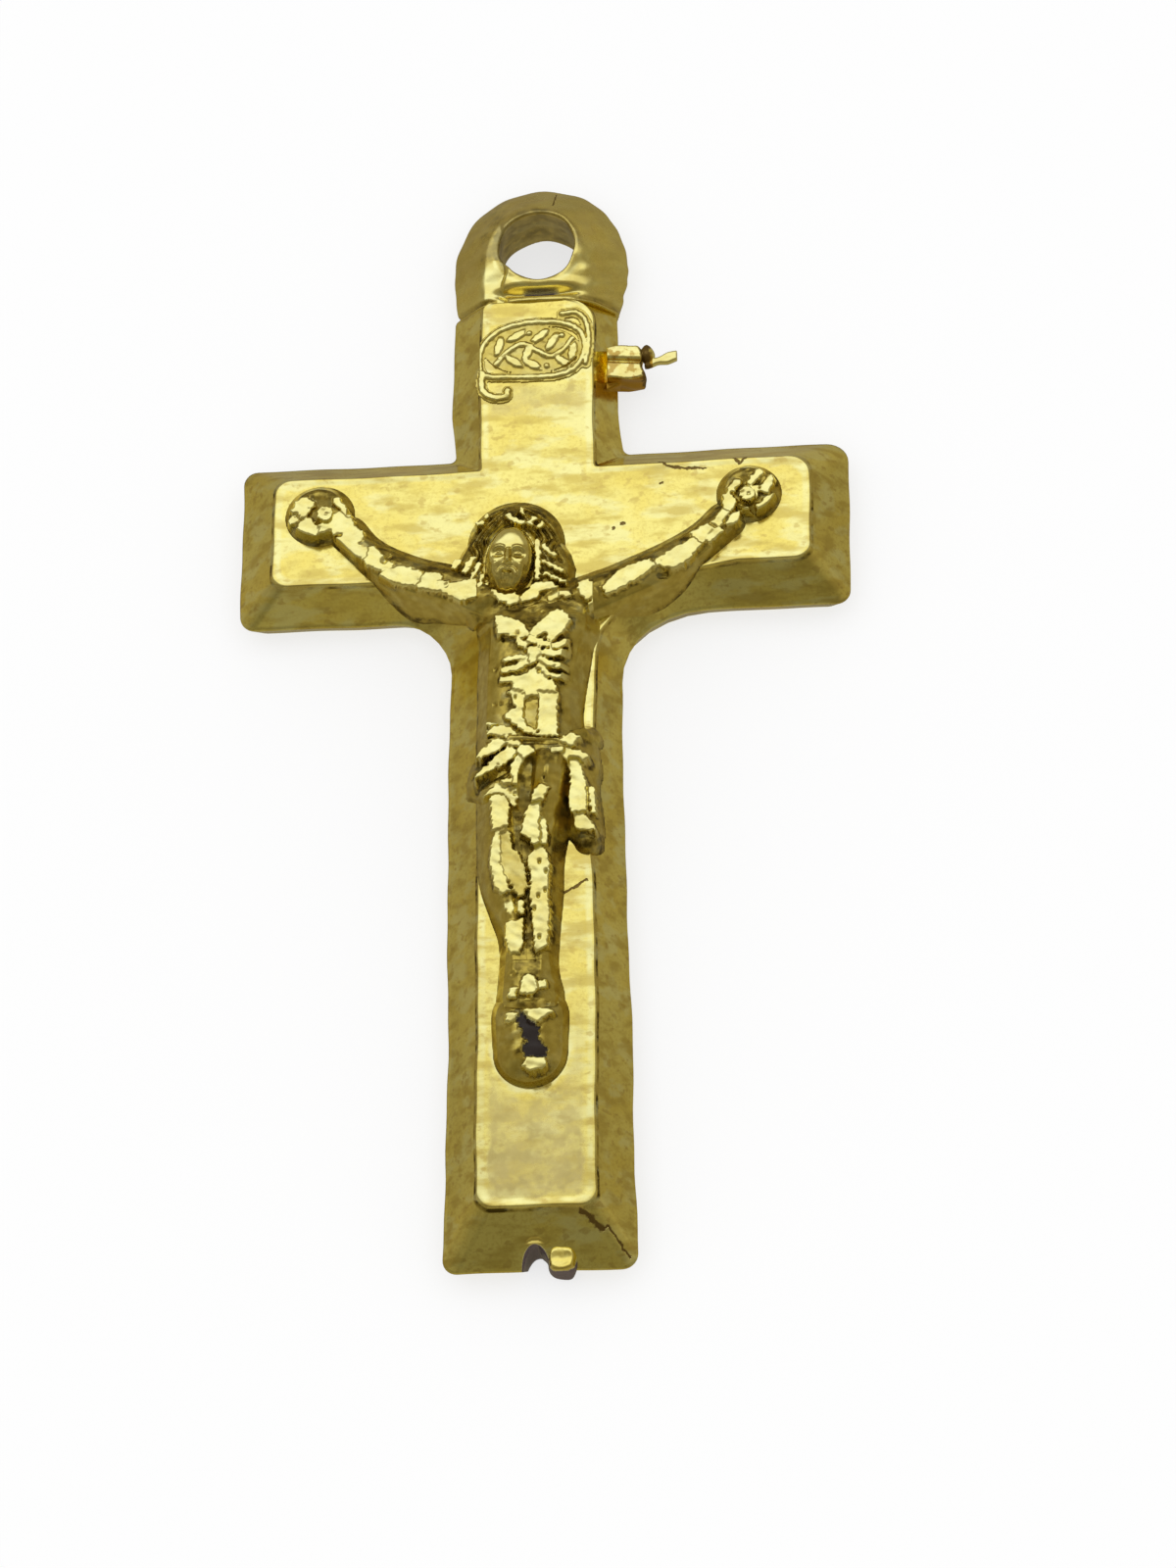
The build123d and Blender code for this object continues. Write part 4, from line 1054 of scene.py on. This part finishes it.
leg_web = [
    (-0.1, -9.9, 1.2, 1.05, 0.05), (-0.3, -11.0, 1.2, 0.95, 0.05), (-0.35, -12.2, 1.1, 0.8, 0.05),
    (-0.35, -13.5, 1.0, 0.72, 0.05), (-0.3, -15.5, 0.8, 0.62, 0.05), (-0.25, -17.8, 0.7, 0.5, 0.05),
]
left_knee = [(0.6, -9.5, 1.05, 0.6, 0.6), (0.5, -10.4, 1.08, 0.7, 0.65), (0.42, -11.2, 1.0, 0.6, 0.6)]
left_shin = [
    (0.6, -9.4, 0.9, 0.5, 0.6), (0.52, -10.0, 0.95, 0.55, 0.78), (0.5, -10.6, 0.96, 0.6, 0.9),
    (0.4, -11.6, 0.94, 0.55, 0.75), (0.28, -12.6, 0.86, 0.5, 0.62), (0.24, -13.5, 0.76, 0.48, 0.52),
    (0.28, -14.8, 0.68, 0.45, 0.46), (0.26, -16.0, 0.6, 0.42, 0.42), (0.22, -17.8, 0.54, 0.4, 0.35),
]
right_shin = [
    (-1.16, -10.4, 0.98, 0.5, 0.6), (-1.15, -11.6, 0.98, 0.5, 0.6), (-1.14, -13.0, 0.96, 0.48, 0.55),
    (-1.08, -14.2, 0.92, 0.45, 0.5), (-0.88, -15.3, 0.78, 0.42, 0.46), (-0.69, -16.4, 0.64, 0.4, 0.42),
    (-0.67, -17.8, 0.58, 0.38, 0.36),
]
crossed_feet = [
    (-0.25, -17.2, 1.02, 0.45, 0.3), (-0.24, -17.9, 1.1, 0.5, 0.35), (-0.2, -18.5, 1.2, 0.55, 0.35),
    (-0.2, -18.9, 1.2, 0.55, 0.28),
]
ankle_cut = -17.5


def legs(relief):
    """Both legs, the web between them and the feet, raised alike for each of their pieces."""
    relief.form(leg_web, full=4.0).form(left_knee, full=4.0).form(left_shin).form(right_shin)
    relief.form(crossed_feet, blend=0.3)
    relief.dome(-0.02, -18.45, 0.5, 0.5, 0.8, 0.15, lean=0.4)
    # The plates and strips carry painted highlights, one shin plate a weaker one.
    relief.plates(half_lit_shin, bright=0.55).plates(leg_plates + foot_plates).strips(leg_strips)
    for x, y in leg_dents:
        relief.swell(x, y, 0.07, 0.12, -0.12)
    # Painted shade along the knee's arch under the cloth and down the outer side of the left shin.
    relief.paint_shade_inside(0.13 - relief.follow(knee_arch)[0], 0.12, soft=0.16)
    relief.paint_shade_inside(0.15 - relief.follow([(1.12, -11.4), (1.16, -12.2), (1.12, -13.0)])[0], 0.35, soft=0.2)
    return relief.roughen(51, 0.45, 0.004)


def valley(relief):
    """The line between the shins, as a distance to the right of it."""
    return relief.x - np.interp(-relief.y, [10.5, 12.0, 13.4, 14.85, 18.5], [-0.6, -0.6, -0.44, -0.26, -0.28])


relief = legs(Relief(-1.3, 2.1, -18.3, -8.9, shade=0.72))
left_leg = relief.solid("left_leg_moulding", cuts=[-valley(relief), ankle_cut - relief.y])
mount(left_leg, "left_leg", figure_gold)
relief = legs(Relief(-2.7, 0.3, -18.3, -9.6, shade=0.72))
right_leg = relief.solid("right_leg_moulding", cuts=[valley(relief) - 0.05, ankle_cut - relief.y])
mount(right_leg, "right_leg", figure_gold)

# Loincloth
# A cloth wrapped round the hips in slanting folds, dipping in the middle, knotted at the left hip with an
# end that hangs down. It is moulded with the body and stands proud of it.
relief = Relief(-3.0, 3.0, -14.4, -7.6, shade=0.8, outline=0.4)
wrap = [(-0.1, -9.5, 2.28, 0.95, 0.3), (-0.15, -9.95, 2.3, 0.95, 0.3), (-0.6, -10.35, 1.85, 0.9, 0.3)]
relief.form(wrap, full=4.0)
hem = np.interp(relief.x, [-2.6, -2.18, -1.63, -1.08, -0.46, 0.23, 0.84, 1.26, 1.81, 2.4],
                [-9.5, -9.35, -9.06, -9.02, -9.06, -9.18, -9.22, -9.0, -8.5, -8.3])
relief.height = np.minimum(relief.height, (hem - relief.y) / 0.12 + 1.0)
low_hem = np.interp(relief.x, [-2.5, -2.28, -1.79, -1.52, -1.04, -0.69, -0.49, -0.2],
                    [-10.6, -10.78, -11.4, -11.3, -11.25, -11.75, -11.9, -11.6])
relief.height = np.minimum(relief.height, (relief.y - low_hem) / 0.14 + 0.75)
above_knee = relief.y + 10.8
knee = np.hypot(relief.x - 0.4, np.minimum(above_knee, 0) * 0.3 + np.maximum(above_knee, 0) / 1.1)
relief.height = np.minimum(relief.height, (knee - 1.0) / 0.2 + 1.1)
rolled_hem = [(-1.65, -8.7, 0.42, 0.8, 0.15), (-1.05, -8.88, 0.4, 0.95, 0.15), (-0.6, -9.0, 0.3, 1.05, 0.1)]
knot = [(1.3, -8.95, 0.55, 0.85, 0.25), (1.75, -8.75, 0.5, 0.6, 0.25)]
hanging_end = [(1.5, -9.9, 0.6, 0.75, 0.15), (1.52, -10.7, 0.63, 0.6, 0.25), (1.56, -11.6, 0.66, 0.5, 0.3),
               (1.62, -12.2, 0.64, 0.45, 0.25)]
tip = [(1.68, -12.4, 0.58, 0.52, 0.15), (1.78, -12.75, 0.46, 0.3, 0.15)]
relief.form(rolled_hem, full=4.0).form(knot).form(hanging_end, full=3.0).form(tip)
folds = [
    ([(-2.25, -9.58), (-1.6, -9.3), (-0.9, -9.1)], 0.08, 0.12),
    ([(-2.25, -10.32), (-1.45, -9.86), (-0.7, -9.46)], 0.09, 0.14),
    ([(-2.2, -11.0), (-1.5, -10.57), (-0.75, -10.2)], 0.17, 0.26),
    ([(-0.9, -9.3), (0.0, -9.36), (0.9, -9.4)], 0.07, 0.12),
]
for fold, width, depth in folds:
    relief.line(fold, width, -depth, ends=0.12)
cloth_plates = [
    (1.1, [(-1.66, -8.35), (-1.49, -8.24), (-1.25, -8.29), (-1.25, -8.56), (-1.63, -8.54)]),
    (1.18, [(-1.61, -8.92), (-1.37, -8.67), (-1.06, -8.65), (-0.79, -8.74), (-0.61, -8.98),
            (-0.99, -9.03)]),
    (1.32, [(-2.18, -9.8), (-1.94, -9.55), (-1.6, -9.3), (-1.22, -9.2), (-0.94, -9.37), (-1.32, -9.73),
            (-1.83, -9.93)]),
    (1.34, [(-2.1, -10.76), (-1.48, -10.15), (-1.14, -9.79), (-0.87, -9.61), (-0.49, -9.74),
            (-1.07, -10.28), (-1.42, -10.38), (-1.79, -10.59)]),
    (1.42, [(-0.45, -9.56), (-0.1, -9.61), (0.27, -10.05), (-0.1, -10.44), (-0.31, -10.21),
            (-0.48, -9.86)]),
    (1.36, [(-0.73, -10.31), (-0.49, -9.94), (-0.21, -10.45), (-0.48, -11), (-0.55, -11.26),
            (-0.72, -10.84)]),
    (1.16, [(-1.71, -11.34), (-1.23, -10.94), (-1.06, -10.95), (-0.78, -11.38), (-0.61, -11.13),
            (-0.54, -11.36), (-0.68, -11.8), (-1.02, -11.26), (-1.29, -11.2)]),
    (1.25, [(0.98, -9.32), (1.36, -9.11), (1.63, -9.24), (1.35, -9.6)]),
    (1.15, [(1.03, -9.84), (1.14, -9.66), (1.65, -9.76), (1.93, -9.93), (1.93, -10.04), (1.24, -10.19)]),
    (0.95, [(1.29, -10.03), (1.56, -10.08), (1.84, -10.96), (1.8, -11.94), (1.39, -12.03), (1.25, -11.76),
            (1.32, -10.75)]),
    (0.8, [(1.41, -12.37), (1.48, -12.08), (1.72, -12.05), (2.12, -12.52), (2.12, -12.63), (1.54, -12.57)]),
]
cloth_strips = [
    (1.36, 0.07, [(-0.8, -9.4), (-0.52, -9.45)]),
    (1.3, 0.06, [(-1.01, -10.87), (-0.8, -10.84)]),
    (1.3, 0.07, [(0.71, -9.75), (0.98, -9.72)]),
    (0.6, 0.07, [(1.99, -10.97), (2.03, -11.39), (2.06, -11.81)]),
]
# The plates and strips carry painted highlights.
relief.plates(cloth_plates).strips(cloth_strips)
# Painted shade under the hanging end of the cloth.
relief.paint_shade_inside(-12.62 - relief.y, 0.35, soft=0.2)
relief.roughen(71, 0.45, 0.004).pits(72, 8, 0.08, 0.05)
loincloth = relief.solid("loincloth_moulding")
mount(loincloth, "loincloth", figure_gold)

# Feet
# The feet are laid one over the other at the end of the shins and moulded with them, with a bump where the
# upper instep stands out, its top carrying a painted highlight.
relief = legs(Relief(-2.0, 1.7, -20.2, -16.9, shade=0.75))
feet = relief.pits(82, 6, 0.09, 0.05).solid("feet_moulding", cuts=[relief.y - ankle_cut - 0.05])
mount(feet, "feet", figure_gold)

# Foot rest
# A rounded block under the feet. The coat has come off its front in a ragged patch, so the dark plastic
# shows there between two steps with painted highlights.
relief = Relief(-2.2, 1.9, -22.8, -18.0, shade=0.8)
block = [(-0.2, -19.3, 1.36, 0.35, 0.54), (-0.2, -19.9, 1.34, 0.35, 0.54), (-0.19, -20.6, 1.3, 0.32, 0.52)]
relief.form(block, full=2.6)
relief.line([(-1.0, -19.0), (-0.1, -19.18), (0.8, -18.95)], 0.12, -0.2, ends=0.1)
step_plates = [
    (1, [(-0.3, -19.4), (0.58, -19.4), (0.68, -19.51), (0.31, -19.68), (0.17, -19.82), (-0.09, -19.81)]),
    (0.92, [(-0.95, -19.73), (-0.88, -19.48), (-0.58, -19.5), (-0.68, -19.71)]),
    (0.9, [(-0.34, -21.42), (-0.2, -21.13), (0.37, -21.16), (0.4, -21.45), (-0.1, -21.61)]),
]
relief.plates(step_plates)
worn_off = [
    (-0.45, -19.37), (-0.25, -19.56), (-0.11, -19.78), (0.19, -19.94), (0.16, -20.37), (0.5, -20.79),
    (0.4, -21.07), (-0.31, -21.04), (-0.41, -20.67), (-0.21, -20.43), (-0.41, -20.31), (-0.38, -20.06),
    (-0.62, -19.76),
]
depth = relief.inside(worn_off) + relief.fray
relief.bare = np.clip(0.5 + depth / 0.05, 0, 1)
relief.shade = 0.45 + 0.5 * np.clip(0.5 + relief.waves(94, 0.5), 0, 1)
relief.height = relief.height - 0.07 * relief.bare
foot_rest = relief.roughen(91, 0.45, 0.006).pits(92, 8, 0.09, 0.05).solid("foot_rest_moulding")


def lost_coat(place):
    """The ragged patch as it was cut into the relief."""
    return painted(place, "bare")


dark_plastic = (0.017, 0.008, 0.006, 1)
rest_gold = gold_plating("gold on the foot rest", waves=2.0, dents=3.0, bare=lost_coat, plastic=dark_plastic)
mount(foot_rest, "foot_rest", rest_gold)

# Hand nails
# A low domed nail head in each palm, with a small dent in the middle. Both are moulded with the hands and
# plated like them.
hand_nails, nail_span = [], 0.6
for palm_x, palm_y in (right_palm, left_palm):
    nail = Relief(palm_x - nail_span, palm_x + nail_span, palm_y - nail_span, palm_y + nail_span, cell=0.026)
    nail.dome(palm_x, palm_y, 0.36, 0.32, 0.62, 0.2, lean=0.2)
    # The flat top of each nail carries a painted highlight.
    nail.flatten(0.24 - np.hypot(nail.x - palm_x, nail.y - palm_y), 0.8)
    nail.swell(palm_x + 0.05, palm_y - 0.02, 0.1, 0.08, -0.04)
    hand_nails.append(nail.roughen(101, 0.3, 0.01).solid("hand_nail_moulding"))
first, second = hand_nails
with bpy.context.temp_override(active_object=first, selected_editable_objects=[first, second]):
    bpy.ops.object.join()
mount(first, "hand_nails", figure_gold)

# Title scroll
# A flat scroll on the upper stem with a raised band and two rolled ends, moulded in one with it. Its panel
# carries a plain sprig of leaves and berries in low relief.
relief = Relief(-2.6, 2.5, 4.6, 9.1, cell=0.03, shade=0.35, outline=0.0)
relief.fray = relief.fray * 0.35
panel_rise, line_rise = 0.03, 0.1
band = [(-2.07, 6.24), (-2.1, 6.9), (-1.85, 7.5), (-1.25, 7.98), (-0.28, 8.2), (0.75, 8.15), (1.45, 7.85),
        (1.72, 7.3), (1.64, 6.6), (1.2, 6.1), (0.4, 5.92), (-0.99, 5.96), (-1.8, 6.02), (-2.07, 6.24)]
away, _, _ = relief.follow(band)
inner = np.hypot((relief.x + 0.18) / 1.75, relief.y - 7.05)
on_panel = ((inner < 1) | (away < 0.2)) & (np.abs(relief.x) < 2.12)
relief.height = np.where(on_panel, panel_rise, relief.height)
curls = [[(-2.0, 6.15), (-2.03, 5.75), (-1.95, 5.4), (-1.62, 5.15), (-1.15, 5.14), (-1.08, 5.4)],
         [(0.9, 8.5), (1.45, 8.52), (1.8, 8.05), (1.88, 7.2), (1.76, 6.4)]]
sprig = [(-1.55, 6.45), (-1.1, 7.0), (-0.55, 7.3), (0.0, 7.0), (0.5, 6.75), (0.95, 7.0), (1.3, 7.45)]
# The band, sprig, curls, leaves and berries carry painted highlights.
relief.strips([(line_rise, 0.06, path) for path in (band, sprig)], edge=0.055, grow=0)
from_curls = np.minimum(relief.follow(curls[0])[0], relief.follow(curls[1])[0])
relief.height = np.where(from_curls < 0.22, np.maximum(relief.height, panel_rise), relief.height)
relief.strips([(0.12, 0.08, curls[0]), (line_rise, 0.05, curls[1])], edge=0.06, grow=0)
leaves = [(-1.4, 7.25, 75), (-0.85, 6.6, -35), (-0.75, 7.65, 30), (-0.2, 6.45, -30), (0.1, 7.6, 40),
          (0.55, 7.35, 60), (0.95, 6.5, -40), (-0.35, 6.95, 70), (1.3, 6.9, 80)]
leaf_rise, leaf_half_length, leaf_half_width, berry_radius = 0.09, 0.32, 0.12, 0.06
for leaf_x, leaf_y, turn in leaves:
    along, across = relief.turned(leaf_x, leaf_y, turn)
    in_leaf = (1 - np.hypot(along / leaf_half_length, across / leaf_half_width)) * leaf_half_width
    relief.flatten(in_leaf, leaf_rise, edge=0.055, grow=0)
for berry_x, berry_y in ((-1.35, 6.75), (-0.3, 7.75), (0.35, 6.35), (0.9, 7.6)):
    in_berry = berry_radius - np.hypot(relief.x - berry_x, relief.y - berry_y)
    relief.flatten(in_berry, leaf_rise, edge=0.055, grow=0)
title_scroll = relief.roughen(111, 0.4, 0.008).solid("title_scroll_moulding", sunk=0.05)
mount(title_scroll, "title_scroll", gold_plating("gold on the scroll", waves=2.0, dents=2.0))

# Side gate
# What is left of the runner that fed the mould: a torn stub on the right bevel of the upper stem with a
# thin whisker drawn out of it. The coat is thin there and the amber plastic shows through.
gate_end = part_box("side_gate")[1].x / MM
gate_y = crossing_y + 6.6
gate_cell = 0.035
gate_from = (1.7, gate_y - 1.6, 0.5)
x, y, z = grid(gate_from, (gate_end + 0.3, gate_y + 1.2, 2.4), gate_cell)
stub_from, stub_to, stub_half_width, stub_z, stub_half_height = 2.5, 3.8, 0.68, 1.3, 0.6
torn = 0.04 * np.sin(5.1 * x + 2 * y) + 0.04 * np.sin(7.3 * y + 3 * z) + 0.03 * np.sin(9.0 * z + 4 * x)
stub = soft_max(np.abs(y - gate_y) - stub_half_width, x - stub_to + 0.15 * (y - gate_y), 0.1) + torn
groove = 0.14 * np.exp(-(((y - gate_y - 0.03 + 0.1 * (x - 3.2)) / 0.08) ** 2))
stub = soft_max(soft_max(stub, np.abs(z - stub_z) - stub_half_height + groove, 0.06), stub_from - x, 0.06)
web = soft_max(np.abs(y - gate_y + 0.65 - 0.5 * (x - 2.1)) - 0.5, np.abs(z - 1.15) - 0.32, 0.1)
web = soft_max(web, x - 3.0, 0.1) + 0.5 * torn
tear = np.hypot(np.hypot((x - 3.92) / 0.22, (y - gate_y - 0.36) / 0.42), (z - 1.4) / 0.4) * 0.25 - 0.25 + torn
neck_x, whisker_half, whisker_z = 4.12, 0.14, 1.5
whisker_y = gate_y + 0.06 + 0.27 * (x - neck_x)
whisker = np.abs(y - whisker_y) - whisker_half - 0.08 * (x - 4.1) + 0.03 * np.sin(9 * x)
whisker = soft_max(whisker, np.abs(z - whisker_z) - 0.12, 0.05)
whisker = np.maximum(whisker, np.maximum(3.85 - x, x - gate_end + 0.05))
field = np.minimum(np.minimum(stub, web), np.minimum(whisker, tear))
side_gate = skin("side_gate_remnant", shut(field), gate_from, gate_cell)
x, y, z = vertex_places(side_gate)
# Painted highlight on the whisker and along the top of the stub.
paint(side_gate, "painted_highlight", np.where(x > 4.15, 1.0, np.clip((z - 1.83) / 0.05, 0, 1)))


def amber_root(place):
    """Amber plastic under a thin coat at the root and in patches on the stub."""
    x, y, _ = axes(place)
    ragged = noise(place, 0.3, seed=8.0)
    root = 1 - (y + ragged * 0.5 - 0.4 * (x - 2.4)).ramp(gate_y - 0.4, gate_y + 0.1)
    root = root * (1 - painted(place, "painted_highlight") * 0.9)
    patches = 0.75 * noise(place, 0.35, seed=8.8).ramp(0.48, 0.6) * (1 - x.ramp(3.7, 3.9))
    return root.math("MAXIMUM", root, patches)


def torn_neck(place):
    """The dark tear between the stub and its whisker."""
    x, _, _ = axes(place)
    ragged = noise(place, 0.2, seed=8.5)
    return 1 - abs(x + ragged * 0.4 - neck_x).ramp(0.1, 0.2)


gate_gold = gold_plating("torn gate", waves=8.0, dents=14.0, stain=amber_root, marks=torn_neck)
mount(side_gate, "side_gate", gate_gold)

# Foot gate
# A torn lump beside the nick in the foot, where the plastic was fed in. Its broken side is bare and purple
# grey, and its top kept a bright facet of the coat.
lump_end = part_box("foot_gate")[0].y / MM
lump_x, lump_y = 0.78, foot_y + 0.3
lump_from = (lump_x - 0.8, foot_y - 0.45, 0.2)
x, y, z = grid(lump_from, (lump_x + 0.8, foot_y + 1.2, 2.2), gate_cell)
lump = np.hypot(np.hypot((x - lump_x) / 0.54, (y - lump_y) / 0.55), (z - 0.85) / 0.75) - 1
facet = z - 1.38 + 0.07 * (y - lump_y)
field = soft_max(lump * 0.45, facet, 0.05) + 0.02 * np.sin(9 * x + 5 * z) + 0.02 * np.sin(8 * y)
field = np.maximum(field, lump_end + 0.02 - y)
foot_gate = skin("foot_gate_remnant", shut(field), lump_from, gate_cell)


def break_bare(place):
    """Bare plastic on the broken side of the lump."""
    _, y, z = axes(place)
    ragged = noise(place, 0.2, seed=9.0) - 0.5
    return 1 - (z + ragged * 0.3 + (y - foot_y) * 0.3).ramp(1.18, 1.3)


lump_gold = gold_plating("torn lump", waves=3.0, dents=6.0, bare=break_bare)
mount(foot_gate, "foot_gate", lump_gold)

# Studio
# The pendant lies on a plain pale table in even white light. Dim warm cards stand round it, seen only in the
# metal, as a photographer sets them so that plated bevels show; the light comes back in from overhead.
scene = bpy.context.scene
scene.view_settings.view_transform = "Standard"
world = bpy.data.worlds.new("white room")
scene.world = world
world.use_nodes = True
white = (1, 1, 1, 1)
world.node_tree.nodes["Background"].inputs["Color"].default_value = white
world.node_tree.nodes["Background"].inputs["Strength"].default_value = 1.0
world.cycles.sampling_method = "NONE"

table_half = 1500
compass = ((-1, -1), (1, -1), (1, 1), (-1, 1))
table_corners = [(table_half * east, table_half * north, 0) for east, north in compass]
table = new_piece("table", table_corners, [(0, 1, 2, 3)])
pale = bpy.data.materials.new("pale table")
pale.use_nodes = True
paper = pale.node_tree.nodes["Principled BSDF"]
paper.inputs["Base Color"].default_value = (0.97, 0.97, 0.97, 1)
paper.inputs["Roughness"].default_value = 1.0
paper.inputs["Specular IOR Level"].default_value = 0.0
start = Signal(pale.node_tree)
seen_by = ("Is Camera Ray", "Is Glossy Ray", "Is Transmission Ray")
camera_ray, glossy_ray, transmission_ray = [start.node("LightPath", {}, output=ray) for ray in seen_by]
share = (camera_ray + glossy_ray + transmission_ray) * 0.7
glow = start.node("Emission", {"Color": white, "Strength": 1.0})
surface = start.node("MixShader", {0: share, 1: Signal(pale.node_tree, paper.outputs[0]), 2: glow})
pale.node_tree.links.new(surface.socket, pale.node_tree.nodes["Material Output"].inputs["Surface"])
table.data.materials.append(pale)

card_radius, card_rows, card_turns, card_gap = 400.0, 16, 48, 0.06
vertices, faces = [(0, 0, card_gap)], []
for row in range(card_rows + 1):
    lift = math.pi / 2 * row / card_rows
    out, rise = card_radius * math.cos(lift), card_radius * math.sin(lift)
    for turn in range(card_turns):
        angle = 2 * math.pi * turn / card_turns
        vertices.append((out * math.cos(angle), out * math.sin(angle), rise + card_gap))
for turn in range(card_turns):
    after = (turn + 1) % card_turns
    faces.append((0, 1 + turn, 1 + after))
    for row in range(card_rows):
        base = 1 + row * card_turns
        faces.append((base + turn, base + after, base + card_turns + after, base + card_turns + turn))
cards = new_piece("cards", vertices, faces)
for kind in ("camera", "diffuse", "transmission", "volume_scatter", "shadow"):
    setattr(cards, "visible_" + kind, False)
card_paint = bpy.data.materials.new("dim warm cards")
card_paint.use_nodes = True
tree = card_paint.node_tree
tree.nodes.remove(tree.nodes["Principled BSDF"])
start = Signal(tree)
metres = start.node("TexCoord", {}, output="Object")
direction = metres.node("VectorMath", {0: metres}, operation="NORMALIZE")
east, north, height = axes(direction)
tip = height.math("ARCTAN2", north, height)
window = tip.ramp(math.radians(8), math.radians(26)) * (1 - tip.ramp(math.radians(44), math.radians(58)))
window = window * (1 - abs(east + 0.09).ramp(0.42, 0.72))
dim_south, dim_low_south, dim_north = (0.165, 0.148, 0.096, 1), (0.26, 0.231, 0.15, 1), (0.27, 0.236, 0.16, 1)
dim = north.ramp(-0.8, 0.2).mix(dim_south, dim_north)
low_south = (1 - height.ramp(0.2, 0.5)) * (1 - north.ramp(-0.9, -0.5))
dim = (0.8 * low_south).mix(dim, dim_low_south)
dim = height.ramp(0.002, 0.02).mix(dim_north, dim)
patchy = noise(direction, 0.35, seed=2.0).ramp(0.3, 0.7)
dim = patchy.mix(dim, dim.node("VectorMath", {0: dim, 3: 1.35}, operation="SCALE"))
colour = window.mix(dim, white)
glow = colour.node("Emission", {"Color": colour, "Strength": 1.0})
tree.links.new(glow.socket, tree.nodes["Material Output"].inputs["Surface"])
card_paint.cycles.emission_sampling = "NONE"
cards.data.materials.append(card_paint)

# Camera
# It looks down on the pendant from the foot end with a long lens, a little turned, as the photograph does.
# Its angles, distance and lens were fitted to the outline of the cross.
azimuth, elevation, roll = [math.radians(angle) for angle in (11.79, 64.0, 13.23)]
backward = Vector((math.sin(azimuth) * math.cos(elevation), -math.cos(azimuth) * math.cos(elevation),
                   math.sin(elevation)))
level = Vector((math.cos(azimuth), math.sin(azimuth), 0))
upward = backward.cross(level)
right, up = level * math.cos(roll) - upward * math.sin(roll), level * math.sin(roll) + upward * math.cos(roll)
aim = Vector((1.68, foot_y + 18.19, 0.9)) * MM
distance, focal_pixels, frame_height = 193.58 * MM, 5607, 1600
lens = bpy.data.cameras.new("camera")
lens.lens = focal_pixels * lens.sensor_width / frame_height
lens.clip_start = 0.01
camera = bpy.data.objects.new("camera", lens)
scene.collection.objects.link(camera)
turned = Matrix((right, up, backward)).transposed().to_4x4()
camera.matrix_world = Matrix.Translation(aim + backward * distance) @ turned
scene.camera = camera
